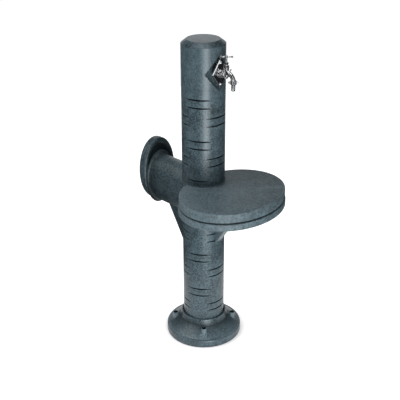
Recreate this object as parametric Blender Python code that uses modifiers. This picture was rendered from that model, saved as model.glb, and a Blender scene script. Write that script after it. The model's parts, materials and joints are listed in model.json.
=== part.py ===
"""Garden water post: a moulded column with a bib tap, a bucket shelf and a hose holder.

Metres, +Z up. The tap and the shelf face -Y and the hose holder is on the +Y side. Pieces are
laid out from the column's axis, and the empty named post_axis puts that axis where the origin
is the middle of the whole post's footprint on the ground.
"""

import math

import bmesh
import bpy
from mathutils import Matrix, Vector

# Clearances
GAP = 0.0003                    # between faces that meet
SCREW_CLEARANCE = 0.0003        # round a screw's shank
OVERCUT = 0.004                 # how far a cutter passes the face it opens

# Column and cap
POST_HEIGHT = 1.009
COLUMN_RADIUS = 0.0675
COLUMN_WALL = 0.005
CAP_CHAMFER_DROP = 0.013
CAP_CHAMFER_RUN = 0.0165
CAP_BAND = 0.001
CAP_PLUG_DEPTH = 0.006
CAP_WALL = 0.004

# Base
BASE_RADIUS = 0.125
BASE_RIM_HEIGHT = 0.025
BASE_RIM_ROUND = 0.003
BASE_RIM_WALL = 0.006
BASE_LEDGE = 0.0075
BASE_WALL = 0.005
COLLAR_TOP = 0.0755
COLLAR_FOOT = 0.0555
COLLAR_GAP = 0.003
COLLAR_LIP = 0.004
COLLAR_FLARE = 0.0045
COLLAR_GAP_DEPTH = 0.0105
SEAT_HEIGHT = 0.030
SEAT_THICKNESS = 0.006
SEAT_OPENING = 0.052
BASE_RIBS = 8
ANCHOR_COUNT = 4
ANCHOR_INWARD = 0.0058          # hole ring inside the middle of the cone
ANCHOR_BOSS_TOP = 0.0585
ANCHOR_BOSS_RADIUS = 0.0093
ANCHOR_HOLE_RADIUS = 0.0052

# Column foot screws
FOOT_SCREWS = 4
FOOT_BOSS_RADIUS = 0.006
FOOT_BOSS_HEIGHT = 0.030
FOOT_SCREW_REACH = 0.026
SCREW_RADIUS = 0.002
SCREW_HEAD_RADIUS = 0.0042
SCREW_HEAD_HEIGHT = 0.003

# Recess for the tap
TAP_BELOW_TOP = 0.091
RECESS_DEPTH = 0.0175
RECESS_HALF_HEIGHT = 0.056
RECESS_FLOOR_HALF_HEIGHT = 0.042
RECESS_CORNER_MARGIN = 0.0007
RECESS_BACKING = 0.006
HUB_RADIUS = 0.0165
PLATE_SCREW_SPREAD = 0.0318
PLATE_BOSS_RADIUS = 0.0055

# Shelf
SHELF_HEIGHT = 0.560
SHELF_HALF_WIDTH = 0.181
SHELF_HALF_DEPTH = 0.145
SHELF_SET_BACK = 0.020          # how far its oval reaches behind the column's axis
SHELF_END = 0.004               # where its two arms stop behind the axis
SHELF_TOP_THICKNESS = 0.0287
SHELF_SLOT = 0.004
SHELF_SLOT_DEPTH = 0.004
SHELF_BASE_THICKNESS = 0.0213
SHELF_EDGE_ROUND = 0.005
SHELF_LOWER_ROUND = 0.002

# Hose holder
ARM_HEIGHT = 0.506
ARM_HALF_WIDTH = 0.050
ARM_HALF_HEIGHT = 0.082
ARM_REACH = 0.2054              # column axis to the disc's inner face
ARM_WALL = 0.005
SPIGOT_LENGTH = 0.010
DISC_HALF_WIDTH = 0.0675
DISC_HALF_HEIGHT = 0.109
DISC_THICKNESS = 0.0339
DISC_EDGE_ROUND = 0.009
DISC_BOSS_RADIUS = 0.006
DISC_BOSS_LENGTH = 0.030
DISC_SCREW_REACH = 0.020

# Brackets
BRACKET_WIDTH = 0.028
SHELF_BRACKET_DROP = 0.144
SHELF_BRACKET_REACH = 0.096
ARM_BRACKET_DROP = 0.135
ARM_BRACKET_REACH = 0.083
WALL_SCREW_REACH = 0.014

# Wall plate
PLATE_HALF_WIDTH = 0.032
PLATE_HALF_HEIGHT = 0.044
PLATE_THICKNESS = 0.0055
PLATE_BEVEL = 0.003
PLATE_SINK = 0.002              # its back face lies this far inside the column's surface
PLATE_SCREW_RADIUS = 0.0017
PLATE_SCREW_REACH = 0.012

# Tap
SHANK_RADIUS = 0.010
SHANK_BORE = 0.0045
SHANK_GRIP = 0.016              # thread held in the elbow
COLLAR_RING_RADIUS = 0.013
COLLAR_RING_LENGTH = 0.006
FLANGE_RADIUS = 0.0115
FLANGE_LENGTH = 0.003
BARREL_REACH = 0.0225           # plate's face to the spindle's axis
BARREL_RADIUS = 0.008
BARREL_BELOW = 0.010
BARREL_ABOVE = 0.0235
CHAMBER_RADIUS = 0.006
SEAT_ABOVE = 0.0055
SEAT_ORIFICE = 0.004
NECK_RADIUS = 0.007
OUTLET_REACH = 0.0505           # plate's face to the outlet's axis
OUTLET_DROP = 0.015             # inlet axis to the end of the spout
SPOUT_RADIUS = 0.0065
SPOUT_BORE = 0.0040
OUTLET_THREAD_RADIUS = 0.0076
OUTLET_THREAD_LENGTH = 0.0075
FINIAL_BALL = 0.0023
FINIAL_STEM = 0.0012

# Headwork, spindle and handle
BONNET_THREAD_LENGTH = 0.007
BONNET_HEX_RADIUS = 0.0084
BONNET_HEX_HEIGHT = 0.0052
BONNET_NECK_RADIUS = 0.0050
BONNET_NECK_HEIGHT = 0.006
COUNTERBORE_DEPTH = 0.0045
PACKING_DEPTH = 0.003
GLAND_RADIUS = 0.0065
GLAND_HEIGHT = 0.0062
SPINDLE_RADIUS = 0.003
SPINDLE_FLANGE_RADIUS = 0.0042
SPINDLE_FLANGE = 0.0035
RISE = 0.0045                   # travel from shut to open
VALVE_RADIUS = 0.005
VALVE_THICKNESS = 0.003
VALVE_PIN_RADIUS = 0.0014
WASHER_THICKNESS = 0.0022
HANDLE_ABOVE_GLAND = 0.0105
HUB_HANDLE_RADIUS = 0.0042
HUB_HANDLE_HEIGHT = 0.008
TANG_RADIUS = 0.0022
BAR_RADIUS = 0.002
BAR_HALF_LENGTH = 0.0165
BAR_BALL = 0.003
BAR_ANGLE = math.radians(-45)
HANDLE_SCREW_RADIUS = 0.0012

# Outlet union
NUT_RADIUS = 0.0098
NUT_ABOVE = 0.0045
NUT_LIP = 0.0024
GASKET_THICKNESS = 0.0016
TAIL_FLANGE = 0.0020
TAIL_RADIUS = 0.0060
TAIL_BORE = 0.0042
TAIL_LENGTH = 0.020
BARBS = 4
BARB_HEIGHT = 0.0006
WING_SPAN = 0.0145
WING_THICKNESS = 0.003
WING_HEIGHT = 0.006

# Plumbing inside the column
RISER_RADIUS = 0.010
RISER_WALL = 0.0025
RISER_FORWARD = 0.022
ELBOW_WALL = 0.0037
ELBOW_LEG = 0.030
SOCKET_DEPTH = 0.015
WING_PLATE_THICKNESS = 0.004
WING_PLATE_HALF_HEIGHT = 0.030
WING_PLATE_HALF_WIDTH = 0.012
ELBOW_SCREW_SPREAD = 0.0235
INLET_BOTTOM = 0.012
INLET_LENGTH = 0.054
INLET_THREAD_DEPTH = 0.028
INLET_THREAD_RADIUS = 0.0105

# Facets round a turned piece
LARGE_STEPS = 40
MEDIUM_STEPS = 20
SMALL_STEPS = 14
SCREW_STEPS = 8

# Heights and distances that follow from the sizes above
TAP_HEIGHT = POST_HEIGHT - TAP_BELOW_TOP
COLUMN_BORE = COLUMN_RADIUS - COLUMN_WALL
COLUMN_FOOT = SEAT_HEIGHT + GAP
COLUMN_TOP = POST_HEIGHT - CAP_CHAMFER_DROP - CAP_BAND - GAP
RECESS_FLOOR = COLUMN_RADIUS - RECESS_DEPTH
RECESS_BACK = RECESS_FLOOR - RECESS_BACKING
PLATE_BACK = COLUMN_RADIUS - PLATE_SINK
PLATE_FACE = PLATE_BACK + PLATE_THICKNESS
BOSS_FACE = PLATE_BACK - GAP
SHELF_FORWARD = SHELF_HALF_DEPTH - SHELF_SET_BACK
SHELF_TOP_UNDERSIDE = SHELF_HEIGHT - SHELF_TOP_THICKNESS
SHELF_BASE_TOP = SHELF_TOP_UNDERSIDE - SHELF_SLOT
SHELF_UNDERSIDE = SHELF_BASE_TOP - SHELF_BASE_THICKNESS
DISC_HEIGHT = ARM_HEIGHT - ARM_HALF_HEIGHT + DISC_HALF_HEIGHT
DISC_OUTER = ARM_REACH + DISC_THICKNESS
BARREL_FORWARD = PLATE_FACE + BARREL_REACH
OUTLET_FORWARD = PLATE_FACE + OUTLET_REACH
SPOUT_END = TAP_HEIGHT - OUTLET_DROP
SEAT_FACE = TAP_HEIGHT + SEAT_ABOVE
BARREL_TOP = TAP_HEIGHT + BARREL_ABOVE
BONNET_TOP = BARREL_TOP + GAP + BONNET_HEX_HEIGHT + BONNET_NECK_HEIGHT
GLAND_TOP = BONNET_TOP + GAP + GLAND_HEIGHT - PACKING_DEPTH
HANDLE_HEIGHT = GLAND_TOP + HANDLE_ABOVE_GLAND + RISE
COLLAR_FOOT_RADIUS = COLUMN_RADIUS + COLLAR_GAP + COLLAR_LIP + COLLAR_FLARE
ANCHOR_RING = (COLLAR_FOOT_RADIUS + BASE_RADIUS) / 2 - ANCHOR_INWARD
POST_AXIS_Y = (SHELF_FORWARD + SHELF_HALF_DEPTH - DISC_OUTER) / 2


# Scene and materials

def clear_scene():
    for old in list(bpy.data.objects):
        bpy.data.objects.remove(old, do_unlink=True)


def make_collection(name):
    collection = bpy.data.collections.new(name)
    bpy.context.scene.collection.children.link(collection)
    return collection


def make_material(name, colour, roughness, metallic):
    material = bpy.data.materials.new(name)
    material.use_nodes = True
    shader = material.node_tree.nodes["Principled BSDF"]
    shader.inputs["Base Color"].default_value = (*colour, 1.0)
    shader.inputs["Roughness"].default_value = roughness
    shader.inputs["Metallic"].default_value = metallic
    return material


clear_scene()
PARTS = make_collection("garden_water_post")
CUTTERS = make_collection("cutters")
PLASTIC = make_material("moulded_plastic", (0.095, 0.130, 0.150), 0.62, 0.0)
CHROME = make_material("chrome", (0.80, 0.81, 0.82), 0.08, 1.0)
BRASS = make_material("brass", (0.62, 0.47, 0.22), 0.35, 1.0)
STEEL = make_material("steel", (0.60, 0.60, 0.58), 0.30, 1.0)
RUBBER = make_material("rubber", (0.03, 0.03, 0.03), 0.80, 0.0)
PIPE = make_material("pipe", (0.70, 0.70, 0.68), 0.45, 0.0)

post_axis = bpy.data.objects.new("post_axis", None)
post_axis.location = (0, POST_AXIS_Y, 0)
PARTS.objects.link(post_axis)


# Modelling helpers

def place(obj, material, location=(0, 0, 0), rotation=(0, 0, 0)):
    """Puts an object among the parts, or among the cutters where it has no material."""
    (PARTS if material else CUTTERS).objects.link(obj)
    if material:
        obj.data.materials.append(material)
    else:
        obj.hide_render = True
        obj.display_type = "WIRE"
    obj.parent = post_axis
    obj.location = location
    obj.rotation_euler = rotation
    return obj


def shade(mesh):
    mesh.shade_smooth()
    mesh.set_sharp_from_angle(angle=math.radians(35))


def from_bmesh(name, bm, material, location=(0, 0, 0), rotation=(0, 0, 0)):
    bmesh.ops.recalc_face_normals(bm, faces=bm.faces)
    mesh = bpy.data.meshes.new(name)
    bm.to_mesh(mesh)
    bm.free()
    shade(mesh)
    return place(bpy.data.objects.new(name, mesh), material, location, rotation)


def turned(name, profile, material, steps, location=(0, 0, 0), rotation=(0, 0, 0), closed=True):
    """Turns (radius, height) points, running down the outer side, about the object's Z."""
    mesh = bpy.data.meshes.new(name)
    count = len(profile)
    edges = [(i, i + 1) for i in range(count - 1)]
    if closed:
        edges.append((count - 1, 0))
    mesh.from_pydata([(radius, 0, height) for radius, height in profile], edges, [])
    obj = place(bpy.data.objects.new(name, mesh), material, location, rotation)
    screw = obj.modifiers.new("Turn", "SCREW")
    screw.axis = "Z"
    screw.angle = math.tau
    screw.steps = steps
    screw.render_steps = steps
    screw.use_merge_vertices = True
    screw.merge_threshold = 0.00001
    screw.use_smooth_shade = True
    return obj


def rod(name, radius, low, high, material=None, steps=SMALL_STEPS, location=(0, 0, 0),
        rotation=(0, 0, 0)):
    """A plain cylinder between two heights on the object's Z."""
    bm = bmesh.new()
    bmesh.ops.create_cone(bm, cap_ends=True, segments=steps, radius1=radius, radius2=radius,
                          depth=high - low, matrix=Matrix.Translation((0, 0, (low + high) / 2)))
    return from_bmesh(name, bm, material, location, rotation)


def box(name, low, high, material=None):
    bm = bmesh.new()
    middle = (Vector(low) + Vector(high)) / 2
    size = Vector(high) - Vector(low)
    bmesh.ops.create_cube(bm, size=1, matrix=Matrix.Translation(middle) @ Matrix.Diagonal((*size, 1)))
    return from_bmesh(name, bm, material)


def oval(name, half_x, half_y, low, high, material=None, steps=LARGE_STEPS, location=(0, 0, 0),
         rotation=(0, 0, 0)):
    """An upright oval prism."""
    bm = bmesh.new()
    bmesh.ops.create_cone(bm, cap_ends=True, segments=steps, radius1=1, radius2=1,
                          depth=high - low, matrix=Matrix.Translation((0, 0, (low + high) / 2)))
    bmesh.ops.scale(bm, vec=(half_x, half_y, 1), verts=bm.verts)
    return from_bmesh(name, bm, material, location, rotation)


def lying_oval(name, half_width, half_height, near, far, height, material=None, steps=LARGE_STEPS):
    """An oval prism along +Y from near to far, centred at a height."""
    return oval(name, half_width, half_height, -far, -near, material, steps, (0, 0, height),
                (math.radians(90), 0, 0))


def prism(name, outline, half_thickness, material=None):
    """An outline of (y, z) points, made half_thickness wide each side of the post's middle."""
    bm = bmesh.new()
    face = bm.faces.new([bm.verts.new((-half_thickness, y, z)) for y, z in outline])
    moved = bmesh.ops.extrude_face_region(bm, geom=[face])["geom"]
    verts = [item for item in moved if isinstance(item, bmesh.types.BMVert)]
    bmesh.ops.translate(bm, verts=verts, vec=(2 * half_thickness, 0, 0))
    return from_bmesh(name, bm, material)


def frustum(name, near, far, half_sizes_near, half_sizes_far, height):
    """A diamond-section block along -Y; half sizes are (width, height) at each distance."""
    bm = bmesh.new()
    rings = []
    for forward, (half_x, half_z) in ((near, half_sizes_near), (far, half_sizes_far)):
        corners = ((half_x, 0), (0, half_z), (-half_x, 0), (0, -half_z))
        rings.append([bm.verts.new((x, -forward, height + z)) for x, z in corners])
    bmesh.ops.contextual_create(bm, geom=rings[0])
    bmesh.ops.contextual_create(bm, geom=rings[1])
    bmesh.ops.bridge_loops(bm, edges=[e for e in bm.edges])
    return from_bmesh(name, bm, None)


def combine(obj, other, operation="DIFFERENCE"):
    modifier = obj.modifiers.new(operation.title() + " " + other.name, "BOOLEAN")
    modifier.operation = operation
    modifier.object = other
    return obj


def rounded(obj, width, segments, degrees=50):
    modifier = obj.modifiers.new("Rounding", "BEVEL")
    modifier.width = width
    modifier.segments = segments
    modifier.limit_method = "ANGLE"
    modifier.angle_limit = math.radians(degrees)
    return obj


def forward_rod(name, radius, near, far, height, material=None, steps=SMALL_STEPS, x=0.0):
    """A cylinder along -Y, from near to far in front of the column's axis."""
    return rod(name, radius, near, far, material, steps, (x, 0, height), (math.radians(90), 0, 0))


def tube_mesh(name, points, radius, resolution, material=None):
    """A round bar along points, made as a curve and turned into a mesh."""
    curve = bpy.data.curves.new(name, "CURVE")
    curve.dimensions = "3D"
    curve.bevel_depth = radius
    curve.bevel_resolution = resolution
    curve.use_fill_caps = True
    spline = curve.splines.new("POLY")
    spline.points.add(len(points) - 1)
    for spline_point, point in zip(spline.points, points):
        spline_point.co = (*point, 1)
    source = bpy.data.objects.new(name + "_path", curve)
    CUTTERS.objects.link(source)
    graph = bpy.context.evaluated_depsgraph_get()
    mesh = bpy.data.meshes.new_from_object(source.evaluated_get(graph))
    bpy.data.objects.remove(source, do_unlink=True)
    bpy.data.curves.remove(curve)
    bm = bmesh.new()
    bm.from_mesh(mesh)
    bpy.data.meshes.remove(mesh)
    bmesh.ops.remove_doubles(bm, verts=bm.verts, dist=0.00001)
    return from_bmesh(name, bm, material)


def around(count, radius, first=0.0):
    """Points evenly spaced on a circle about the column's axis."""
    return [(radius * math.cos(first + math.tau * i / count),
             radius * math.sin(first + math.tau * i / count)) for i in range(count)]


def screw_piece(name, radius, reach, head_radius, head_height, material, location, rotation,
                steps=SCREW_STEPS):
    """A pan-head screw whose shank runs along the object's +Z from its head at the origin."""
    profile = [(0, reach), (radius * 0.6, reach), (radius, reach - radius), (radius, 0),
               (head_radius, 0), (head_radius, -head_height * 0.45),
               (head_radius * 0.6, -head_height), (0, -head_height)]
    return turned(name, profile, material, steps, location, rotation, closed=False)


# Base and column

def make_base():
    collar_inner = COLUMN_RADIUS + COLLAR_GAP
    collar_radius = collar_inner + COLLAR_LIP
    cone_foot = BASE_RADIUS - BASE_LEDGE
    slope = (COLLAR_FOOT - BASE_RIM_HEIGHT) / (cone_foot - COLLAR_FOOT_RADIUS)
    drop = BASE_WALL * math.hypot(1, slope)
    socket = COLUMN_RADIUS + GAP
    socket_outer = socket + BASE_WALL
    rim_inner = BASE_RADIUS - BASE_RIM_WALL

    def under_cone(radius):
        return BASE_RIM_HEIGHT + (cone_foot - radius) * slope - drop

    rim_under = under_cone(rim_inner - drop / 2)
    rib_end_height = (rim_under + BASE_RIM_HEIGHT) / 2
    seat_under = SEAT_HEIGHT - SEAT_THICKNESS
    profile = [
        (collar_radius, COLLAR_TOP),
        (COLLAR_FOOT_RADIUS, COLLAR_FOOT),
        (cone_foot, BASE_RIM_HEIGHT),
        (BASE_RADIUS - BASE_RIM_ROUND, BASE_RIM_HEIGHT),
        (BASE_RADIUS, BASE_RIM_HEIGHT - BASE_RIM_ROUND),
        (BASE_RADIUS, 0),
        (rim_inner, 0),
        (rim_inner, rim_under),
        (rim_inner - drop / 2, rim_under),
        (socket_outer, under_cone(socket_outer)),
        (socket_outer, seat_under),
        (SEAT_OPENING, seat_under),
        (SEAT_OPENING, SEAT_HEIGHT),
        (socket, SEAT_HEIGHT),
        (socket, COLLAR_TOP - COLLAR_GAP_DEPTH - COLLAR_GAP),
        (collar_inner, COLLAR_TOP - COLLAR_GAP_DEPTH),
        (collar_inner, COLLAR_TOP),
    ]
    base = turned("base_flange", profile, PLASTIC, LARGE_STEPS)
    for i in range(BASE_RIBS):
        angle = math.tau * i / BASE_RIBS
        low_end = socket_outer - BASE_WALL / 2
        high_end = rim_inner + BASE_RIM_WALL / 2
        rib = box(f"base_rib_{i}", (low_end, -BASE_WALL / 3, 0.004),
                  (high_end, BASE_WALL / 3, COLLAR_TOP - COLLAR_GAP_DEPTH - COLLAR_GAP))
        rib.rotation_euler = (0, 0, angle)
        trim = turned(f"base_rib_trim_{i}", [
            (socket_outer - BASE_WALL, COLLAR_TOP + OVERCUT),
            (BASE_RADIUS + OVERCUT, COLLAR_TOP + OVERCUT),
            (BASE_RADIUS + OVERCUT, rib_end_height),
            (cone_foot, rib_end_height),
            (socket_outer - BASE_WALL, under_cone(socket_outer - BASE_WALL) + drop / 2)],
            None, LARGE_STEPS) if i == 0 else bpy.data.objects["base_rib_trim_0"]
        combine(rib, trim)
        combine(base, rib, "UNION")
    first = math.radians(45)
    for i, (x, y) in enumerate(around(ANCHOR_COUNT, ANCHOR_RING, first), 1):
        boss = rod(f"anchor_boss_{i}", ANCHOR_BOSS_RADIUS, 0, ANCHOR_BOSS_TOP, steps=SMALL_STEPS,
                   location=(x, y, 0))
        combine(base, boss, "UNION")
        hole = rod(f"anchor_hole_{i}", ANCHOR_HOLE_RADIUS, -OVERCUT, ANCHOR_BOSS_TOP + OVERCUT,
                   location=(x, y, 0))
        combine(base, hole)
    for i, (x, y) in enumerate(around(FOOT_SCREWS, COLUMN_BORE - FOOT_BOSS_RADIUS + 0.0005), 1):
        hole = rod(f"seat_hole_{i}", SCREW_RADIUS + SCREW_CLEARANCE, seat_under - OVERCUT,
                   SEAT_HEIGHT + OVERCUT, steps=SCREW_STEPS, location=(x, y, 0))
        combine(base, hole)
        screw_piece(f"column_foot_screw_{i}", SCREW_RADIUS, FOOT_SCREW_REACH, SCREW_HEAD_RADIUS,
                    SCREW_HEAD_HEIGHT, STEEL, (x, y, seat_under - GAP), (0, 0, 0))


def recess_half_sizes(forward):
    """Half width and half height of the diamond recess at a distance from the axis."""
    share = (forward - RECESS_FLOOR) / RECESS_DEPTH
    grown = RECESS_HALF_HEIGHT - RECESS_FLOOR_HALF_HEIGHT
    half_height = RECESS_FLOOR_HALF_HEIGHT + grown * share
    floor_width = math.sqrt(COLUMN_RADIUS**2 - RECESS_FLOOR**2) + RECESS_CORNER_MARGIN
    return floor_width * half_height / RECESS_FLOOR_HALF_HEIGHT, half_height


def make_column():
    column = rod("column", COLUMN_RADIUS, COLUMN_FOOT, COLUMN_TOP, PLASTIC, LARGE_STEPS)
    void = rod("column_void", COLUMN_BORE, COLUMN_FOOT - OVERCUT, COLUMN_TOP + OVERCUT,
               steps=LARGE_STEPS)
    beyond = COLUMN_RADIUS + OVERCUT
    back_width, back_height = recess_half_sizes(RECESS_FLOOR)
    front_width, front_height = recess_half_sizes(beyond)
    thicker = RECESS_BACKING * 1.4
    backing = frustum("recess_backing", RECESS_BACK, beyond,
                      (back_width + thicker, back_height + thicker),
                      (front_width + thicker, front_height + thicker), TAP_HEIGHT)
    combine(void, backing)
    combine(column, void)
    combine(column, frustum("recess_cut", RECESS_FLOOR, beyond, (back_width, back_height),
                            (front_width, front_height), TAP_HEIGHT))
    into_floor = RECESS_FLOOR - RECESS_BACKING / 2
    combine(column, forward_rod("tap_hub", HUB_RADIUS, into_floor, BOSS_FACE, TAP_HEIGHT,
                                steps=MEDIUM_STEPS), "UNION")
    for i, side in enumerate((1, -1), 1):
        height = TAP_HEIGHT + side * PLATE_SCREW_SPREAD
        combine(column, forward_rod(f"plate_boss_{i}", PLATE_BOSS_RADIUS, into_floor, BOSS_FACE,
                                    height), "UNION")
        pilot_end = PLATE_FACE + GAP - PLATE_SCREW_REACH - OVERCUT / 2
        combine(column, forward_rod(f"plate_pilot_{i}", PLATE_SCREW_RADIUS + SCREW_CLEARANCE,
                                    pilot_end, BOSS_FACE + OVERCUT, height, steps=SCREW_STEPS))
    combine(column, forward_rod("tap_hole", SHANK_RADIUS + GAP, RECESS_BACK - OVERCUT,
                                BOSS_FACE + OVERCUT, TAP_HEIGHT, steps=MEDIUM_STEPS))
    for i, side in enumerate((1, -1), 1):
        combine(column, forward_rod(f"elbow_pilot_{i}", SCREW_RADIUS + SCREW_CLEARANCE,
                                    RECESS_BACK - OVERCUT, RECESS_FLOOR - 0.001,
                                    TAP_HEIGHT + side * ELBOW_SCREW_SPREAD, steps=SCREW_STEPS))
    for i, (x, y) in enumerate(around(FOOT_SCREWS, COLUMN_BORE - FOOT_BOSS_RADIUS + 0.0005), 1):
        boss = rod(f"foot_boss_{i}", FOOT_BOSS_RADIUS, COLUMN_FOOT, COLUMN_FOOT + FOOT_BOSS_HEIGHT,
                   steps=SMALL_STEPS, location=(x, y, 0))
        combine(column, boss, "UNION")
        pilot = rod(f"foot_pilot_{i}", SCREW_RADIUS + SCREW_CLEARANCE, COLUMN_FOOT - OVERCUT,
                    COLUMN_FOOT + FOOT_SCREW_REACH - OVERCUT, steps=SCREW_STEPS, location=(x, y, 0))
        combine(column, pilot)
    return column


def make_cap():
    band_foot = COLUMN_TOP + GAP
    chamfer_foot = POST_HEIGHT - CAP_CHAMFER_DROP
    plug = COLUMN_BORE - GAP
    profile = [
        (0, POST_HEIGHT),
        (COLUMN_RADIUS - CAP_CHAMFER_RUN, POST_HEIGHT),
        (COLUMN_RADIUS, chamfer_foot),
        (COLUMN_RADIUS, band_foot),
        (plug, band_foot),
        (plug, band_foot - CAP_PLUG_DEPTH),
        (plug - CAP_WALL, band_foot - CAP_PLUG_DEPTH),
        (plug - CAP_WALL, chamfer_foot - CAP_WALL),
        (COLUMN_RADIUS - CAP_CHAMFER_RUN, POST_HEIGHT - CAP_WALL),
        (0, POST_HEIGHT - CAP_WALL),
    ]
    turned("top_cap", profile, PLASTIC, LARGE_STEPS, closed=False)


# Shelf

def shelf_oval(name, inset, low, high, material=None):
    return oval(name, SHELF_HALF_WIDTH - inset, SHELF_HALF_DEPTH - inset, low, high, material,
                LARGE_STEPS, (0, -SHELF_FORWARD, 0))


def shelf_screw_places():
    """(x, y) of the screws that hold the two discs together, spread over the oval."""
    spread = 0.62
    turns = (-90, -22, 202, 18, 162)
    return [(SHELF_HALF_WIDTH * spread * math.cos(math.radians(turn)),
             -SHELF_FORWARD + SHELF_HALF_DEPTH * spread * math.sin(math.radians(turn)))
            for turn in turns]


def make_shelf():
    column_cut = rod("shelf_column_cut", COLUMN_RADIUS + GAP, SHELF_UNDERSIDE - OVERCUT,
                     SHELF_HEIGHT + OVERCUT, steps=LARGE_STEPS)
    reach = SHELF_HALF_WIDTH + OVERCUT
    end_cut = box("shelf_end_cut", (-reach, SHELF_END, SHELF_UNDERSIDE - OVERCUT),
                  (reach, SHELF_SET_BACK + 2 * OVERCUT, SHELF_HEIGHT + OVERCUT))
    top = shelf_oval("shelf_top", 0, SHELF_TOP_UNDERSIDE, SHELF_HEIGHT, PLASTIC)
    rounded(top, SHELF_EDGE_ROUND, 2)
    base = shelf_oval("shelf_base", 0, SHELF_UNDERSIDE, SHELF_BASE_TOP, PLASTIC)
    rounded(base, SHELF_LOWER_ROUND, 1)
    spacer = shelf_oval("shelf_spacer", SHELF_SLOT_DEPTH, SHELF_BASE_TOP - OVERCUT,
                        SHELF_TOP_UNDERSIDE - GAP)
    combine(base, spacer, "UNION")
    for disc in (top, base):
        combine(disc, column_cut)
        combine(disc, end_cut)
    head_seat = SHELF_UNDERSIDE + 2 * SCREW_HEAD_HEIGHT
    shank_end = SHELF_HEIGHT - 0.010
    for i, (x, y) in enumerate(shelf_screw_places(), 1):
        place_here = (x, y, 0)
        hole = rod(f"shelf_hole_{i}", SCREW_RADIUS + SCREW_CLEARANCE, head_seat - OVERCUT,
                   shank_end + 0.001, steps=SCREW_STEPS, location=place_here)
        sink = rod(f"shelf_sink_{i}", SCREW_HEAD_RADIUS + GAP, SHELF_UNDERSIDE - OVERCUT, head_seat,
                   steps=SCREW_STEPS + 4, location=place_here)
        combine(top, hole)
        combine(base, hole)
        combine(base, sink)
        screw_piece(f"shelf_screw_{i}", SCREW_RADIUS, shank_end - head_seat + GAP,
                    SCREW_HEAD_RADIUS, SCREW_HEAD_HEIGHT, STEEL, (x, y, head_seat - GAP), (0, 0, 0))


def make_bracket(name, side, top, drop, reach, screw_heights, trim=None):
    """A rib from the column's side (-1 front, 1 back) under a shelf or an arm."""
    inner = COLUMN_RADIUS / 2
    face = COLUMN_RADIUS
    outline = [(side * inner, top), (side * (face + reach), top), (side * face, top - drop),
               (side * inner, top - drop)]
    bracket = prism(name, outline, BRACKET_WIDTH / 2, PLASTIC)
    combine(bracket, rod(name + "_column_cut", COLUMN_RADIUS + GAP, top - drop - OVERCUT,
                         top + OVERCUT, steps=LARGE_STEPS))
    if trim:
        combine(bracket, trim)
    add_wall_screws(name, side, bracket, screw_heights)
    return bracket


def add_wall_screws(name, side, piece, heights):
    """Screws from inside the column through its wall into a piece that stands on it."""
    column = bpy.data.objects["column"]
    head_face = COLUMN_BORE - 2 * GAP
    for i, height in enumerate(heights, 1):
        turn = math.radians(-90 * side)
        low, high = head_face - OVERCUT, head_face + WALL_SCREW_REACH + 0.001
        hole = rod(f"{name}_hole_{i}", SCREW_RADIUS + SCREW_CLEARANCE, low, high,
                   steps=SCREW_STEPS, location=(0, 0, height), rotation=(turn, 0, 0))
        combine(column, hole)
        combine(piece, hole)
        screw_piece(f"{name}_screw_{i}", SCREW_RADIUS, WALL_SCREW_REACH, SCREW_HEAD_RADIUS,
                    SCREW_HEAD_HEIGHT, STEEL, (0, side * head_face, height), (turn, 0, 0))


# Hose holder

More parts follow.
